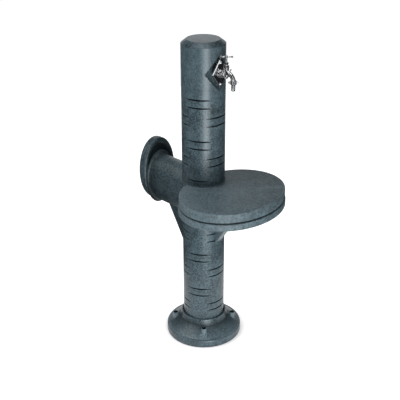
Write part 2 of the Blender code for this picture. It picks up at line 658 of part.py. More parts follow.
def make_hose_holder():
    inner_start = COLUMN_RADIUS / 2
    arm = lying_oval("hose_arm", ARM_HALF_WIDTH, ARM_HALF_HEIGHT, inner_start, ARM_REACH - GAP,
                     ARM_HEIGHT, PLASTIC)
    spigot_width = ARM_HALF_WIDTH - ARM_WALL - GAP
    spigot_height = ARM_HALF_HEIGHT - ARM_WALL - GAP
    spigot_end = ARM_REACH + SPIGOT_LENGTH
    combine(arm, lying_oval("arm_spigot", spigot_width, spigot_height, ARM_REACH - 2 * OVERCUT,
                            spigot_end, ARM_HEIGHT), "UNION")
    combine(arm, rod("arm_column_cut", COLUMN_RADIUS + GAP, ARM_HEIGHT - ARM_HALF_HEIGHT - OVERCUT,
                     ARM_HEIGHT + ARM_HALF_HEIGHT + OVERCUT, steps=LARGE_STEPS))
    void = lying_oval("arm_void", spigot_width - ARM_WALL, spigot_height - ARM_WALL, inner_start,
                      spigot_end + OVERCUT, ARM_HEIGHT)
    combine(void, rod("arm_saddle", COLUMN_RADIUS + GAP + ARM_WALL,
                      ARM_HEIGHT - ARM_HALF_HEIGHT - OVERCUT, ARM_HEIGHT + ARM_HALF_HEIGHT + OVERCUT,
                      steps=LARGE_STEPS))
    boss_offset = spigot_height - ARM_WALL - DISC_BOSS_RADIUS + 0.0005
    combine(arm, void)
    disc = lying_oval("hose_disc", DISC_HALF_WIDTH, DISC_HALF_HEIGHT, ARM_REACH, DISC_OUTER,
                      DISC_HEIGHT, PLASTIC)
    rounded(disc, DISC_EDGE_ROUND, 2)
    combine(disc, lying_oval("disc_socket", ARM_HALF_WIDTH - ARM_WALL, ARM_HALF_HEIGHT - ARM_WALL,
                             ARM_REACH - OVERCUT, spigot_end + GAP, ARM_HEIGHT))
    back = (math.radians(-90), 0, 0)
    head_seat = DISC_OUTER - 1.5 * SCREW_HEAD_HEIGHT
    shank = head_seat - spigot_end + DISC_SCREW_REACH
    for i, side in enumerate((1, -1), 1):
        where = (0, 0, ARM_HEIGHT + side * boss_offset)
        combine(arm, rod(f"disc_boss_{i}", DISC_BOSS_RADIUS, spigot_end - DISC_BOSS_LENGTH,
                         spigot_end, location=where, rotation=back), "UNION")
        hole = rod(f"disc_hole_{i}", SCREW_RADIUS + SCREW_CLEARANCE,
                   spigot_end - DISC_SCREW_REACH - 0.001, DISC_OUTER, steps=SCREW_STEPS,
                   location=where, rotation=back)
        combine(arm, hole)
        combine(disc, hole)
        combine(disc, rod(f"disc_sink_{i}", SCREW_HEAD_RADIUS + GAP, head_seat,
                          DISC_OUTER + OVERCUT, steps=SCREW_STEPS + 4, location=where,
                          rotation=back))
        screw_piece(f"hose_disc_screw_{i}", SCREW_RADIUS, shank, SCREW_HEAD_RADIUS,
                    SCREW_HEAD_HEIGHT, STEEL, (0, head_seat + GAP, where[2]),
                    (math.radians(90), 0, 0))
    add_wall_screws("hose_arm", 1, arm, [ARM_HEIGHT - ARM_HALF_HEIGHT / 2,
                                         ARM_HEIGHT + ARM_HALF_HEIGHT / 2])
    arm_underside = ARM_HEIGHT - ARM_HALF_HEIGHT
    clearance = lying_oval("arm_clearance", ARM_HALF_WIDTH + GAP, ARM_HALF_HEIGHT + GAP, 0,
                           ARM_REACH + OVERCUT, ARM_HEIGHT)
    lift = ARM_HALF_HEIGHT * (1 - math.sqrt(1 - (BRACKET_WIDTH / 2 / ARM_HALF_WIDTH) ** 2))
    top = arm_underside + lift
    make_bracket("arm_bracket", 1, top, ARM_BRACKET_DROP + lift, ARM_BRACKET_REACH,
                 [top - 0.3 * ARM_BRACKET_DROP, top - 0.6 * ARM_BRACKET_DROP], clearance)


# Tap

def make_wall_plate():
    outline = [(0, PLATE_HALF_HEIGHT), (PLATE_HALF_WIDTH, 0), (0, -PLATE_HALF_HEIGHT),
               (-PLATE_HALF_WIDTH, 0)]
    bm = bmesh.new()
    back = [bm.verts.new((x, -PLATE_BACK, TAP_HEIGHT + z)) for x, z in outline]
    face = bm.faces.new(back)
    moved = bmesh.ops.extrude_face_region(bm, geom=[face])["geom"]
    verts = [item for item in moved if isinstance(item, bmesh.types.BMVert)]
    shrink = 1 - PLATE_BEVEL / min(PLATE_HALF_WIDTH, PLATE_HALF_HEIGHT)
    for vert in verts:
        vert.co.y = -PLATE_FACE
        vert.co.x *= shrink
        vert.co.z = TAP_HEIGHT + (vert.co.z - TAP_HEIGHT) * shrink
    plate = from_bmesh("wall_plate", bm, CHROME)
    combine(plate, forward_rod("plate_hole", SHANK_RADIUS + GAP, PLATE_BACK - OVERCUT,
                               PLATE_FACE + OVERCUT, TAP_HEIGHT, steps=MEDIUM_STEPS))
    for i, side in enumerate((1, -1), 1):
        height = TAP_HEIGHT + side * PLATE_SCREW_SPREAD
        combine(plate, forward_rod(f"plate_screw_hole_{i}", PLATE_SCREW_RADIUS + SCREW_CLEARANCE,
                                   PLATE_BACK - OVERCUT, PLATE_FACE + OVERCUT, height,
                                   steps=SCREW_STEPS))
        screw_piece(f"wall_plate_screw_{i}", PLATE_SCREW_RADIUS, PLATE_SCREW_REACH,
                    SCREW_HEAD_RADIUS, SCREW_HEAD_HEIGHT, CHROME, (0, -PLATE_FACE - GAP, height),
                    (math.radians(-90), 0, 0), SCREW_STEPS + 4)


def spout_point(share):
    """A point on the spout's centre line, from inside the barrel to the outlet."""
    path = ((BARREL_FORWARD, SEAT_FACE + CHAMBER_RADIUS * 0.9),
            (BARREL_FORWARD + 0.008, SEAT_FACE + 0.002),
            (OUTLET_FORWARD, SPOUT_END + 0.018),
            (OUTLET_FORWARD, SPOUT_END))
    rest = 1 - share
    weights = (rest**3, 3 * rest**2 * share, 3 * rest * share**2, share**3)
    forward = sum(weight * point[0] for weight, point in zip(weights, path))
    height = sum(weight * point[1] for weight, point in zip(weights, path))
    return Vector((0, -forward, height))


def make_tap_body():
    barrel_low = TAP_HEIGHT - BARREL_BELOW
    profile = [(0, BARREL_TOP), (BARREL_RADIUS + 0.0008, BARREL_TOP),
               (BARREL_RADIUS + 0.0008, BARREL_TOP - 0.002), (BARREL_RADIUS, BARREL_TOP - 0.003),
               (BARREL_RADIUS, TAP_HEIGHT - 0.002), (BARREL_RADIUS * 0.86, TAP_HEIGHT - 0.006),
               (BARREL_RADIUS * 0.5, barrel_low + 0.001), (0, barrel_low)]
    body = turned("tap_body", profile, CHROME, MEDIUM_STEPS, (0, -BARREL_FORWARD, 0), closed=False)
    shank_end = RECESS_BACK - SHANK_GRIP
    flange_near = PLATE_FACE + COLLAR_RING_LENGTH + 2 * GAP
    combine(body, forward_rod("tap_shank", SHANK_RADIUS, shank_end, flange_near + 0.001,
                              TAP_HEIGHT, steps=MEDIUM_STEPS), "UNION")
    combine(body, forward_rod("tap_flange", FLANGE_RADIUS, flange_near, flange_near + FLANGE_LENGTH,
                              TAP_HEIGHT, steps=6), "UNION")
    combine(body, forward_rod("tap_neck", NECK_RADIUS, flange_near + 0.001, BARREL_FORWARD,
                              TAP_HEIGHT, steps=MEDIUM_STEPS), "UNION")
    steps = 9
    outer = [spout_point(0.95 * i / steps) for i in range(steps + 1)]
    combine(body, tube_mesh("spout", outer, SPOUT_RADIUS, 3), "UNION")
    thread_low = SPOUT_END
    combine(body, rod("outlet_thread", OUTLET_THREAD_RADIUS, thread_low,
                      thread_low + OUTLET_THREAD_LENGTH, steps=MEDIUM_STEPS,
                      location=(0, -OUTLET_FORWARD, 0)), "UNION")
    combine(body, rod("chamber", CHAMBER_RADIUS, SEAT_FACE, BARREL_TOP + OVERCUT,
                      steps=MEDIUM_STEPS, location=(0, -BARREL_FORWARD, 0)))
    combine(body, rod("seat_orifice", SEAT_ORIFICE, TAP_HEIGHT - SHANK_BORE, SEAT_FACE + OVERCUT,
                      location=(0, -BARREL_FORWARD, 0)))
    combine(body, forward_rod("shank_bore", SHANK_BORE, shank_end - OVERCUT,
                              BARREL_FORWARD - SEAT_ORIFICE / 2, TAP_HEIGHT))
    inner = [spout_point(0.16 + 0.84 * i / steps) for i in range(steps + 1)]
    inner.append(inner[-1] - Vector((0, 0, OVERCUT)))
    combine(body, tube_mesh("spout_bore", inner, SPOUT_BORE, 2))
    forward_rod("tap_collar", COLLAR_RING_RADIUS, PLATE_FACE + GAP,
                PLATE_FACE + GAP + COLLAR_RING_LENGTH, TAP_HEIGHT, CHROME, MEDIUM_STEPS)
    collar = bpy.data.objects["tap_collar"]
    rounded(collar, COLLAR_RING_LENGTH * 0.25, 1)
    combine(collar, forward_rod("collar_hole", SHANK_RADIUS + GAP, PLATE_FACE - OVERCUT,
                                flange_near + OVERCUT, TAP_HEIGHT, steps=MEDIUM_STEPS))
    make_finial(body)


def make_finial(body):
    """A ball on a short stem, screwed into the spout's shoulder."""
    root = spout_point(0.34)
    slant = math.radians(-27)
    rotation = (-slant, 0, 0)
    stem_low = SPOUT_BORE + 0.0008 + GAP
    stem_high = SPOUT_RADIUS + 0.006
    length = SPOUT_RADIUS + 0.0075
    pilot = rod("finial_hole", FINIAL_STEM + SCREW_CLEARANCE, SPOUT_BORE + 0.0008,
                SPOUT_RADIUS + OVERCUT, steps=SCREW_STEPS, location=root, rotation=rotation)
    combine(body, pilot)
    profile = [(0, length + FINIAL_BALL)]
    for i in range(1, 6):
        angle = math.pi * i / 6
        radius = FINIAL_BALL * math.sin(angle)
        if angle < math.pi / 2 or radius > FINIAL_STEM:
            profile.append((radius, length + FINIAL_BALL * math.cos(angle)))
    profile += [(FINIAL_STEM, stem_high - 0.001), (FINIAL_STEM, stem_low), (0, stem_low)]
    turned("tap_finial", profile, CHROME, SCREW_STEPS, root, rotation, closed=False)


def make_headwork():
    where = (0, -BARREL_FORWARD, 0)
    bore = SPINDLE_RADIUS + GAP
    thread_radius = CHAMBER_RADIUS - GAP
    low = BARREL_TOP - BONNET_THREAD_LENGTH
    hex_low = BARREL_TOP + GAP
    hex_top = hex_low + BONNET_HEX_HEIGHT
    packing_bore = BONNET_NECK_RADIUS - 0.0008
    counterbore = SPINDLE_FLANGE_RADIUS + 0.0008
    profile = [
        (BONNET_NECK_RADIUS, BONNET_TOP), (BONNET_NECK_RADIUS, hex_top),
        (BONNET_HEX_RADIUS, hex_top - 0.0006), (BONNET_HEX_RADIUS, hex_low),
        (thread_radius, hex_low), (thread_radius, low), (counterbore, low),
        (counterbore, low + COUNTERBORE_DEPTH), (bore, low + COUNTERBORE_DEPTH + 0.0008),
        (bore, BONNET_TOP - PACKING_DEPTH), (packing_bore, BONNET_TOP - PACKING_DEPTH),
        (packing_bore, BONNET_TOP),
    ]
    turned("tap_bonnet", profile, CHROME, SMALL_STEPS, where)
    turned("tap_packing", [
        (packing_bore - GAP, BONNET_TOP - GAP), (packing_bore - GAP, BONNET_TOP - PACKING_DEPTH + GAP),
        (bore, BONNET_TOP - PACKING_DEPTH + GAP), (bore, BONNET_TOP - GAP)], RUBBER, SMALL_STEPS, where)
    gland_low = GLAND_TOP - GLAND_HEIGHT
    turned("tap_gland_nut", [
        (GLAND_RADIUS - 0.0008, GLAND_TOP), (GLAND_RADIUS, GLAND_TOP - 0.0008),
        (GLAND_RADIUS, gland_low), (BONNET_NECK_RADIUS + GAP, gland_low),
        (BONNET_NECK_RADIUS + GAP, BONNET_TOP + GAP), (bore, BONNET_TOP + GAP), (bore, GLAND_TOP)],
        CHROME, SMALL_STEPS, where)

    valve_low = SEAT_FACE + 2 * GAP + WASHER_THICKNESS
    valve_top = valve_low + VALVE_THICKNESS
    pin_top = valve_top + SPINDLE_FLANGE
    turned("valve_washer", [
        (VALVE_RADIUS, valve_low - GAP), (VALVE_RADIUS, SEAT_FACE + GAP),
        (VALVE_PIN_RADIUS, SEAT_FACE + GAP), (VALVE_PIN_RADIUS, valve_low - GAP)],
        RUBBER, SMALL_STEPS, where)
    turned("valve_jumper", [
        (0, pin_top), (VALVE_PIN_RADIUS, pin_top), (VALVE_PIN_RADIUS, valve_top),
        (VALVE_RADIUS, valve_top), (VALVE_RADIUS, valve_low), (0, valve_low)],
        BRASS, SMALL_STEPS, where, closed=False)
    spindle_low = valve_top + GAP
    flange_top = spindle_low + SPINDLE_FLANGE
    socket = VALVE_PIN_RADIUS + GAP
    shoulder = HANDLE_HEIGHT - HUB_HANDLE_HEIGHT / 2 - GAP
    tang_top = HANDLE_HEIGHT + HUB_HANDLE_HEIGHT / 2 - 0.0015
    thread = HANDLE_SCREW_RADIUS + GAP
    outer = [(0, tang_top - 0.006), (thread, tang_top - 0.006), (thread, tang_top),
             (TANG_RADIUS, tang_top), (TANG_RADIUS, shoulder), (SPINDLE_RADIUS, shoulder),
             (SPINDLE_RADIUS, flange_top), (SPINDLE_FLANGE_RADIUS, flange_top),
             (SPINDLE_FLANGE_RADIUS, spindle_low), (socket, spindle_low), (socket, pin_top + GAP),
             (0, pin_top + GAP)]
    turned("tap_spindle", outer, BRASS, SMALL_STEPS, where, closed=False)
    make_handle(where, tang_top)


def make_handle(where, tang_top):
    hub_low = HANDLE_HEIGHT - HUB_HANDLE_HEIGHT / 2
    hub_top = HANDLE_HEIGHT + HUB_HANDLE_HEIGHT / 2
    tang_hole = TANG_RADIUS + GAP
    screw_hole = HANDLE_SCREW_RADIUS + GAP
    profile = [
        (HUB_HANDLE_RADIUS * 0.75, hub_top), (HUB_HANDLE_RADIUS, hub_top - 0.0012),
        (HUB_HANDLE_RADIUS, hub_low + 0.0012), (HUB_HANDLE_RADIUS * 0.75, hub_low),
        (tang_hole, hub_low), (tang_hole, tang_top + GAP), (screw_hole, tang_top + GAP),
        (screw_hole, hub_top)]
    handle = turned("tap_handle", profile, CHROME, MEDIUM_STEPS, where)
    direction = Vector((math.cos(BAR_ANGLE), math.sin(BAR_ANGLE), 0))
    centre = Vector((where[0], where[1], HANDLE_HEIGHT))
    for i, side in enumerate((1, -1), 1):
        start = centre + direction * side * (tang_hole + 0.0006)
        end = centre + direction * side * BAR_HALF_LENGTH
        combine(handle, tube_mesh(f"bar_{i}", [start, end], BAR_RADIUS, 2), "UNION")
        bm = bmesh.new()
        bmesh.ops.create_uvsphere(bm, u_segments=SCREW_STEPS, v_segments=6, radius=BAR_BALL)
        combine(handle, from_bmesh(f"bar_ball_{i}", bm, None, end), "UNION")
    screw_piece("handle_screw", HANDLE_SCREW_RADIUS, hub_top + GAP - tang_top + 0.004,
                0.003, 0.0016, CHROME, (where[0], where[1], hub_top + GAP),
                (math.radians(180), 0, 0))


def make_outlet():
    where = (0, -OUTLET_FORWARD, 0)
    bore = OUTLET_THREAD_RADIUS + GAP
    gasket_top = SPOUT_END - GAP
    gasket_low = gasket_top - GASKET_THICKNESS
    flange_top = gasket_low - GAP
    flange_low = flange_top - TAIL_FLANGE
    lip_top = flange_low - GAP
    lip_low = lip_top - NUT_LIP
    nut_top = SPOUT_END + NUT_ABOVE
    turned("outlet_gasket", [
        (OUTLET_THREAD_RADIUS, gasket_top), (OUTLET_THREAD_RADIUS, gasket_low),
        (TAIL_BORE, gasket_low), (TAIL_BORE, gasket_top)], RUBBER, SMALL_STEPS, where)
    tail_low = lip_low - TAIL_LENGTH
    step = (lip_low - 0.0035 - tail_low) / BARBS
    profile = [(OUTLET_THREAD_RADIUS, flange_top), (OUTLET_THREAD_RADIUS, flange_low),
               (TAIL_RADIUS, flange_low)]
    for i in range(BARBS):
        top = lip_low - 0.0035 - i * step
        profile += [(TAIL_RADIUS, top), (TAIL_RADIUS + BARB_HEIGHT, top - 0.0004)]
    profile += [(TAIL_RADIUS - 0.0004, tail_low), (TAIL_BORE, tail_low), (TAIL_BORE, flange_top)]
    turned("outlet_tail", profile, CHROME, MEDIUM_STEPS, where)
    lip_bore = TAIL_RADIUS + BARB_HEIGHT + GAP
    nut = turned("outlet_nut", [
        (NUT_RADIUS - 0.0008, nut_top), (NUT_RADIUS, nut_top - 0.0008), (NUT_RADIUS, lip_low + 0.0008),
        (NUT_RADIUS - 0.0008, lip_low), (lip_bore, lip_low), (lip_bore, lip_top), (bore, lip_top),
        (bore, nut_top)], CHROME, MEDIUM_STEPS, where)
    middle = (nut_top + lip_low) / 2
    for i, side in enumerate((1, -1), 1):
        angle = math.radians(20) + (0 if side > 0 else math.pi)
        reach = WING_SPAN - WING_HEIGHT / 2
        bm = bmesh.new()
        bmesh.ops.create_cube(bm, size=1, matrix=Matrix.Translation(
            ((reach + bore + 0.0005) / 2, 0, 0)) @ Matrix.Diagonal(
            (reach - bore - 0.0005, WING_THICKNESS, WING_HEIGHT * 0.8, 1)))
        wing = from_bmesh(f"wing_{i}", bm, None, (0, -OUTLET_FORWARD, middle), (0, 0, angle))
        ear = rod(f"wing_ear_{i}", WING_HEIGHT / 2, -WING_THICKNESS / 2, WING_THICKNESS / 2,
                  steps=SMALL_STEPS,
                  location=(reach * math.cos(angle), -OUTLET_FORWARD + reach * math.sin(angle), middle),
                  rotation=(math.radians(90), 0, angle))
        combine(nut, wing, "UNION")
        combine(nut, ear, "UNION")


# Plumbing

def make_plumbing():
    leg = (0, -RISER_FORWARD, 0)
    socket = RISER_RADIUS + GAP
    bore = RISER_RADIUS - RISER_WALL
    outer = socket + ELBOW_WALL
    leg_low = TAP_HEIGHT - ELBOW_LEG
    near_face = RECESS_BACK - GAP
    elbow = forward_rod("riser_elbow", outer, RISER_FORWARD - outer / 2, near_face, TAP_HEIGHT,
                        BRASS, MEDIUM_STEPS)
    combine(elbow, rod("elbow_leg", outer, leg_low, TAP_HEIGHT + outer * 0.6, steps=MEDIUM_STEPS,
                       location=leg), "UNION")
    combine(elbow, box("elbow_wing", (-WING_PLATE_HALF_WIDTH, -near_face,
                                      TAP_HEIGHT - WING_PLATE_HALF_HEIGHT),
                       (WING_PLATE_HALF_WIDTH, -near_face + WING_PLATE_THICKNESS,
                        TAP_HEIGHT + WING_PLATE_HALF_HEIGHT)), "UNION")
    shank_end = RECESS_BACK - SHANK_GRIP
    combine(elbow, forward_rod("elbow_thread", SHANK_RADIUS + GAP, shank_end - 0.001,
                               near_face + OVERCUT, TAP_HEIGHT, steps=MEDIUM_STEPS))
    combine(elbow, forward_rod("elbow_cross", bore * 0.9, RISER_FORWARD, shank_end + OVERCUT,
                               TAP_HEIGHT))
    combine(elbow, rod("elbow_drop", bore, leg_low - OVERCUT, TAP_HEIGHT + bore * 0.5, location=leg))
    combine(elbow, rod("elbow_socket", socket, leg_low - OVERCUT, leg_low + SOCKET_DEPTH,
                       steps=MEDIUM_STEPS, location=leg))
    for i, side in enumerate((1, -1), 1):
        height = TAP_HEIGHT + side * ELBOW_SCREW_SPREAD
        combine(elbow, forward_rod(f"elbow_hole_{i}", SCREW_RADIUS + SCREW_CLEARANCE,
                                   near_face - WING_PLATE_THICKNESS - OVERCUT,
                                   near_face + OVERCUT, height, steps=SCREW_STEPS))
        head_face = near_face - WING_PLATE_THICKNESS - GAP
        screw_piece(f"elbow_screw_{i}", SCREW_RADIUS, WING_PLATE_THICKNESS + RECESS_BACKING - 0.001,
                    SCREW_HEAD_RADIUS, SCREW_HEAD_HEIGHT, STEEL, (0, -head_face, height),
                    (math.radians(90), 0, 0))
    pipe_top = leg_low + SOCKET_DEPTH - GAP
    inlet_top = INLET_BOTTOM + INLET_LENGTH
    stop = inlet_top - SOCKET_DEPTH
    pipe_low = stop + GAP
    turned("riser_pipe", [(RISER_RADIUS, pipe_top), (RISER_RADIUS, pipe_low), (bore, pipe_low),
                          (bore, pipe_top)], PIPE, MEDIUM_STEPS, leg)
    thread_top = INLET_BOTTOM + INLET_THREAD_DEPTH
    turned("inlet_coupling", [
        (outer, inlet_top), (outer, INLET_BOTTOM), (INLET_THREAD_RADIUS, INLET_BOTTOM),
        (INLET_THREAD_RADIUS, thread_top), (bore, thread_top), (bore, stop), (socket, stop),
        (socket, inlet_top)], BRASS, MEDIUM_STEPS, leg)


make_base()
make_column()
make_cap()
make_shelf()
make_bracket("shelf_bracket", -1, SHELF_UNDERSIDE - GAP, SHELF_BRACKET_DROP, SHELF_BRACKET_REACH,
             [SHELF_UNDERSIDE - 0.25 * SHELF_BRACKET_DROP, SHELF_UNDERSIDE - 0.7 * SHELF_BRACKET_DROP])
make_hose_holder()
make_wall_plate()
make_tap_body()
make_headwork()
make_outlet()
make_plumbing()
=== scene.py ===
"""Looks for a garden water post: moulded column, bib tap, bucket shelf and hose holder.

Every size is in metres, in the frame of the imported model: +Z up, the tap and the shelf towards
-Y and the hose holder towards +Y. Sub-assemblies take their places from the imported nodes.
"""

from __future__ import annotations

import json
import logging
import math
from dataclasses import dataclass
from enum import Enum
from typing import Callable, Iterable, Sequence

import bmesh
import bpy
from mathutils import Matrix, Vector

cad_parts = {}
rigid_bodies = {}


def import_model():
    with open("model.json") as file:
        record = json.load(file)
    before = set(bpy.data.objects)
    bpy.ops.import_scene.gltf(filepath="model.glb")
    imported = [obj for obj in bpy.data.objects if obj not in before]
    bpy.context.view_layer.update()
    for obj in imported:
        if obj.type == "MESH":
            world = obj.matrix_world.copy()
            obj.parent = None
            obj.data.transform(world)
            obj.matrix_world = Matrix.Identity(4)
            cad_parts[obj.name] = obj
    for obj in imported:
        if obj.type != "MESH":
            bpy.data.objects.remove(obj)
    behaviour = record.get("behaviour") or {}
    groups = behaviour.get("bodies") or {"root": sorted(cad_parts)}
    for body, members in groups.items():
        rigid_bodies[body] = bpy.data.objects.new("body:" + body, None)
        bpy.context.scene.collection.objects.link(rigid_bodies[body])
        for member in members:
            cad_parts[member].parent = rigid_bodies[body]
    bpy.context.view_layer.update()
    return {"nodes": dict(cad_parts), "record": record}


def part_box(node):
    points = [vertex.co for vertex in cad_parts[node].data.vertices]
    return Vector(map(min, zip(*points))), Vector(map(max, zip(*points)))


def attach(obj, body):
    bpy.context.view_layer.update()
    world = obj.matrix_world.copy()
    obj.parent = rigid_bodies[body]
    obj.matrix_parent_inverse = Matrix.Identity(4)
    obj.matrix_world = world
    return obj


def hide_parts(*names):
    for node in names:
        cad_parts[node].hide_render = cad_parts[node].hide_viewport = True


LOG = logging.getLogger("water_post")
GAP = 0.0003  # between faces that meet
FREE = 0.01  # how far a cutter runs past what it cuts
Obj = bpy.types.Object
Socket = bpy.types.NodeSocket
Point = tuple[float, float]
Colour = tuple[float, float, float]
Value = Socket | float | Sequence[float]
Ring = list[Vector]
Shape = Callable[[float], float]


# ---------------------------------------------------------------------------
# Choices


class Body(Enum):
    """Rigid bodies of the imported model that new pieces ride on."""

    POST = "post"
    SPINDLE = "spindle"
    HOSE_TAIL = "hose_tail"
    UNION_NUT = "union_nut"


class Slot(Enum):
    """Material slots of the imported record."""

    PLASTIC = "moulded_plastic"
    CHROME = "chrome"
    BRASS = "brass"
    STEEL = "steel"
    RUBBER = "rubber"
    PIPE = "pipe"


class Axis(Enum):
    """Directions that a turned piece's own +Z is laid along, with their quarter turns about X."""

    DOWN = 2
    FRONT = 1
    BACK = -1

    @property
    def matrix(self) -> Matrix:
        """Rotation that takes +Z to this direction."""
        return Matrix.Rotation(self.value * math.pi / 2, 4, "X")


class Cut(Enum):
    """How two solids are combined."""

    REMOVE = "DIFFERENCE"
    JOIN = "UNION"


# ---------------------------------------------------------------------------
# Mesh tools


def clamp(value: float) -> float:
    """Keeps a share between 0 and 1."""
    return min(1.0, max(0.0, value))


def around(share: float, radius: float = 0.0) -> Matrix:
    """Places a piece at a share of a whole turn on a ring about the axis."""
    return Matrix.Rotation(math.tau * share, 4, "Z") @ Matrix.Translation((radius, 0, 0))


def ring_at(height: float, steps: int, half_x: float, half_y: float | None = None,
            factor: Shape | None = None) -> Ring:
    """Makes one closed ring of points, counter-clockwise from +X.

    Args:
        height: Z of the ring.
        steps: Number of points.
        half_x: Its radius, or half the width of an oval.
        half_y: Half the depth of an oval.
        factor: Factor on the size at an angle.

    Returns:
        The points.
    """
    ring = []
    for i in range(steps):
        angle = math.tau * i / steps
        grow = factor(angle) if factor else 1.0
        ring.append(Vector((half_x * grow * math.cos(angle),
                            (half_y or half_x) * grow * math.sin(angle), height)))
    return ring


def to_object(name: str, bm: bmesh.types.BMesh) -> Obj:
    """Turns an edit mesh into an object with outward normals, and frees it.

    Args:
        name: Name of the new object.
        bm: The edit mesh.

    Returns:
        The new object.
    """
    bmesh.ops.recalc_face_normals(bm, faces=bm.faces)
    mesh = bpy.data.meshes.new(name)
    bm.to_mesh(mesh)
    bm.free()
    obj = bpy.data.objects.new(name, mesh)
    bpy.context.scene.collection.objects.link(obj)
    return obj


def skin(name: str, rings: Sequence[Ring], looped: bool = False, capped: bool = True) -> Obj:
    """Joins rings of equal length with quads.

    Args:
        name: Name of the new object.
        rings: The rings in order; a ring of one point is a tip.
        looped: Whether the last ring joins the first.
        capped: Whether open ends get a face.

    Returns:
        The new object.
    """
    bm = bmesh.new()
    made = [[bm.verts.new(point) for point in ring] for ring in rings]
    for first, second in zip(made, made[1:] + (made[:1] if looped else [])):
        count = max(len(first), len(second))
        for i in range(count):
            j = (i + 1) % count
            corners = dict.fromkeys((first[i % len(first)], first[j % len(first)],
                                     second[j % len(second)], second[i % len(second)]))
            if len(corners) > 2:
                bm.faces.new(list(corners))
    for end in (made[0], made[-1]) if capped and not looped else ():
        bm.faces.new(end)
    return to_object(name, bm)


def rounded(points: Sequence[Point], radii: Sequence[float] | float, closed: bool = False,
            steps: int = 4) -> list[Point]:
    """Replaces the corners of an outline with arcs.

    Args:
        points: The outline's corners.
        radii: Radius at each corner, or one for all.
        closed: Whether the outline comes back to its start.
        steps: Segments in each arc.

    Returns:
        The outline with its round corners.
    """
    count = len(points)
    if isinstance(radii, (int, float)):
        radii = [float(radii)] * count
    made: list[Point] = []
    for i, (corner, radius) in enumerate(zip(points, radii)):
        here = Vector(corner)
        before, after = Vector(points[i - 1]) - here, Vector(points[(i + 1) % count]) - here
        end = not closed and i in (0, count - 1)
        plain = end or radius <= 0 or not before.length * after.length
        angle = 0.0 if plain else before.angle(after)
        if not 0.02 < angle < math.pi - 0.02:
            made.append((here.x, here.y))
            continue
        reach = min(radius / math.tan(angle / 2), 0.48 * min(before.length, after.length))
        before.normalize()
        after.normalize()
        middle = here + (before + after).normalized() * (reach / math.cos(angle / 2))
        first, last = here + before * reach - middle, here + after * reach - middle
        sweep = math.copysign(math.pi - angle, first.x * last.y - first.y * last.x)
        for k in range(steps + 1):
            point = middle + Matrix.Rotation(sweep * k / steps, 2) @ first
            made.append((point.x, point.y))
    return made


def turned(name: str, outline: Sequence[Point], steps: int = 96, closed: bool = False,
           factor: Shape | None = None) -> Obj:
    """Turns (radius, height) points about +Z.

    Args:
        name: Name of the new object.
        outline: Points from one end of the axis to the other, or a closed loop off the axis.
        steps: Facets round the axis.
        closed: Whether the outline is a loop.
        factor: Factor on the radius at an angle.

    Returns:
        The solid of revolution.
    """
    rings = [ring_at(height, steps, radius, factor=factor) if radius > 1e-7
             else [Vector((0, 0, height))] for radius, height in outline]
    return skin(name, rings, looped=closed, capped=False)


def rod(name: str, radius: float, low: float, high: float, steps: int) -> Obj:
    """Makes a plain round bar along +Z, most often as a cutter."""
    return turned(name, [(0, low), (radius, low), (radius, high), (0, high)], steps)


def sleeve(name: str, bore: float, radius: float, low: float, high: float, edge: float = 0.0,
           steps: int = 64) -> Obj:
    """Makes a tube along +Z between its bore and its radius, with rounded edges."""
    outline = [(bore, low), (radius, low), (radius, high), (bore, high)]
    return turned(name, rounded(outline, edge, closed=True), steps, closed=True)


def oval_turned(name: str, half_x: float, half_y: float, outline: Sequence[Point]) -> Obj:
    """Sweeps (inset, height) points round an oval; the outline starts and ends at the middle.

    Args:
        name: Name of the new object.
        half_x: Half width of the oval.
        half_y: Half depth of the oval.
        outline: Inset from the oval's edge and height, from top middle to bottom middle.

    Returns:
        The closed solid.
    """
    rings = [ring_at(height, 160, half_x - inset, half_y - inset) for inset, height in outline]
    tips = [[Vector((0, 0, height))] for _, height in (outline[0], outline[-1])]
    return skin(name, [tips[0], *rings, tips[1]], capped=False)


def hex_nut(name: str, corner: float, low: float, high: float, bore: float,
            chamfer: float = 0.0007) -> Obj:
    """Makes a six-sided nut with turned chamfers on both ends.

    Args:
        name: Name of the new object.
        corner: Radius over the corners.
        low: Bottom of the nut.
        high: Top of the nut.
        bore: Radius of the hole.
        chamfer: Height of the turned chamfer.

    Returns:
        The nut.
    """
    steps, sixth = 96, math.pi / 3
    flat = corner * math.cos(sixth / 2)

    def level(height: float, limit: float) -> Ring:
        """Makes one ring, no larger than a limit."""
        return ring_at(height, steps, 1.0, factor=lambda angle: min(
            limit, flat / math.cos((angle + sixth / 2) % sixth - sixth / 2)))

    rings = [level(low, flat * 0.97), level(low + chamfer * 0.35, flat * 1.01),
             level(low + chamfer, corner), level(high - chamfer, corner),
             level(high - chamfer * 0.35, flat * 1.01), level(high, flat * 0.97)]
    rings += [ring_at(high, steps, bore), ring_at(low, steps, bore)]
    return skin(name, rings, looped=True)


def tube(name: str, path: Sequence[Vector], radii: Sequence[float], steps: int = 40) -> Obj:
    """Sweeps a round section along a path in the plane x = 0.

    Args:
        name: Name of the new object.
        path: Points of the centre line.
        radii: Radius at each point.
        steps: Facets round it.

    Returns:
        The closed bar.
    """
    rings = []
    side = Vector((1, 0, 0))
    for i, (point, radius) in enumerate(zip(path, radii)):
        ahead = (path[min(i + 1, len(path) - 1)] - path[max(i - 1, 0)]).normalized()
        other = ahead.cross(side).normalized()
        rings.append([point + side * flat.x + other * flat.y for flat in ring_at(0, steps, radius)])
    return skin(name, rings)


def cubic(points: Sequence[Vector], count: int) -> list[Vector]:
    """Gives evenly numbered points on a curve of four control points.

    Args:
        points: The control points.
        count: Number of stretches.

    Returns:
        One more point than there are stretches.
    """
    made = []
    for share in (i / count for i in range(count + 1)):
        rest = 1 - share
        weights = (rest**3, 3 * rest**2 * share, 3 * rest * share**2, share**3)
        made.append(sum((point * weight for point, weight in zip(points, weights)), Vector()))
    return made


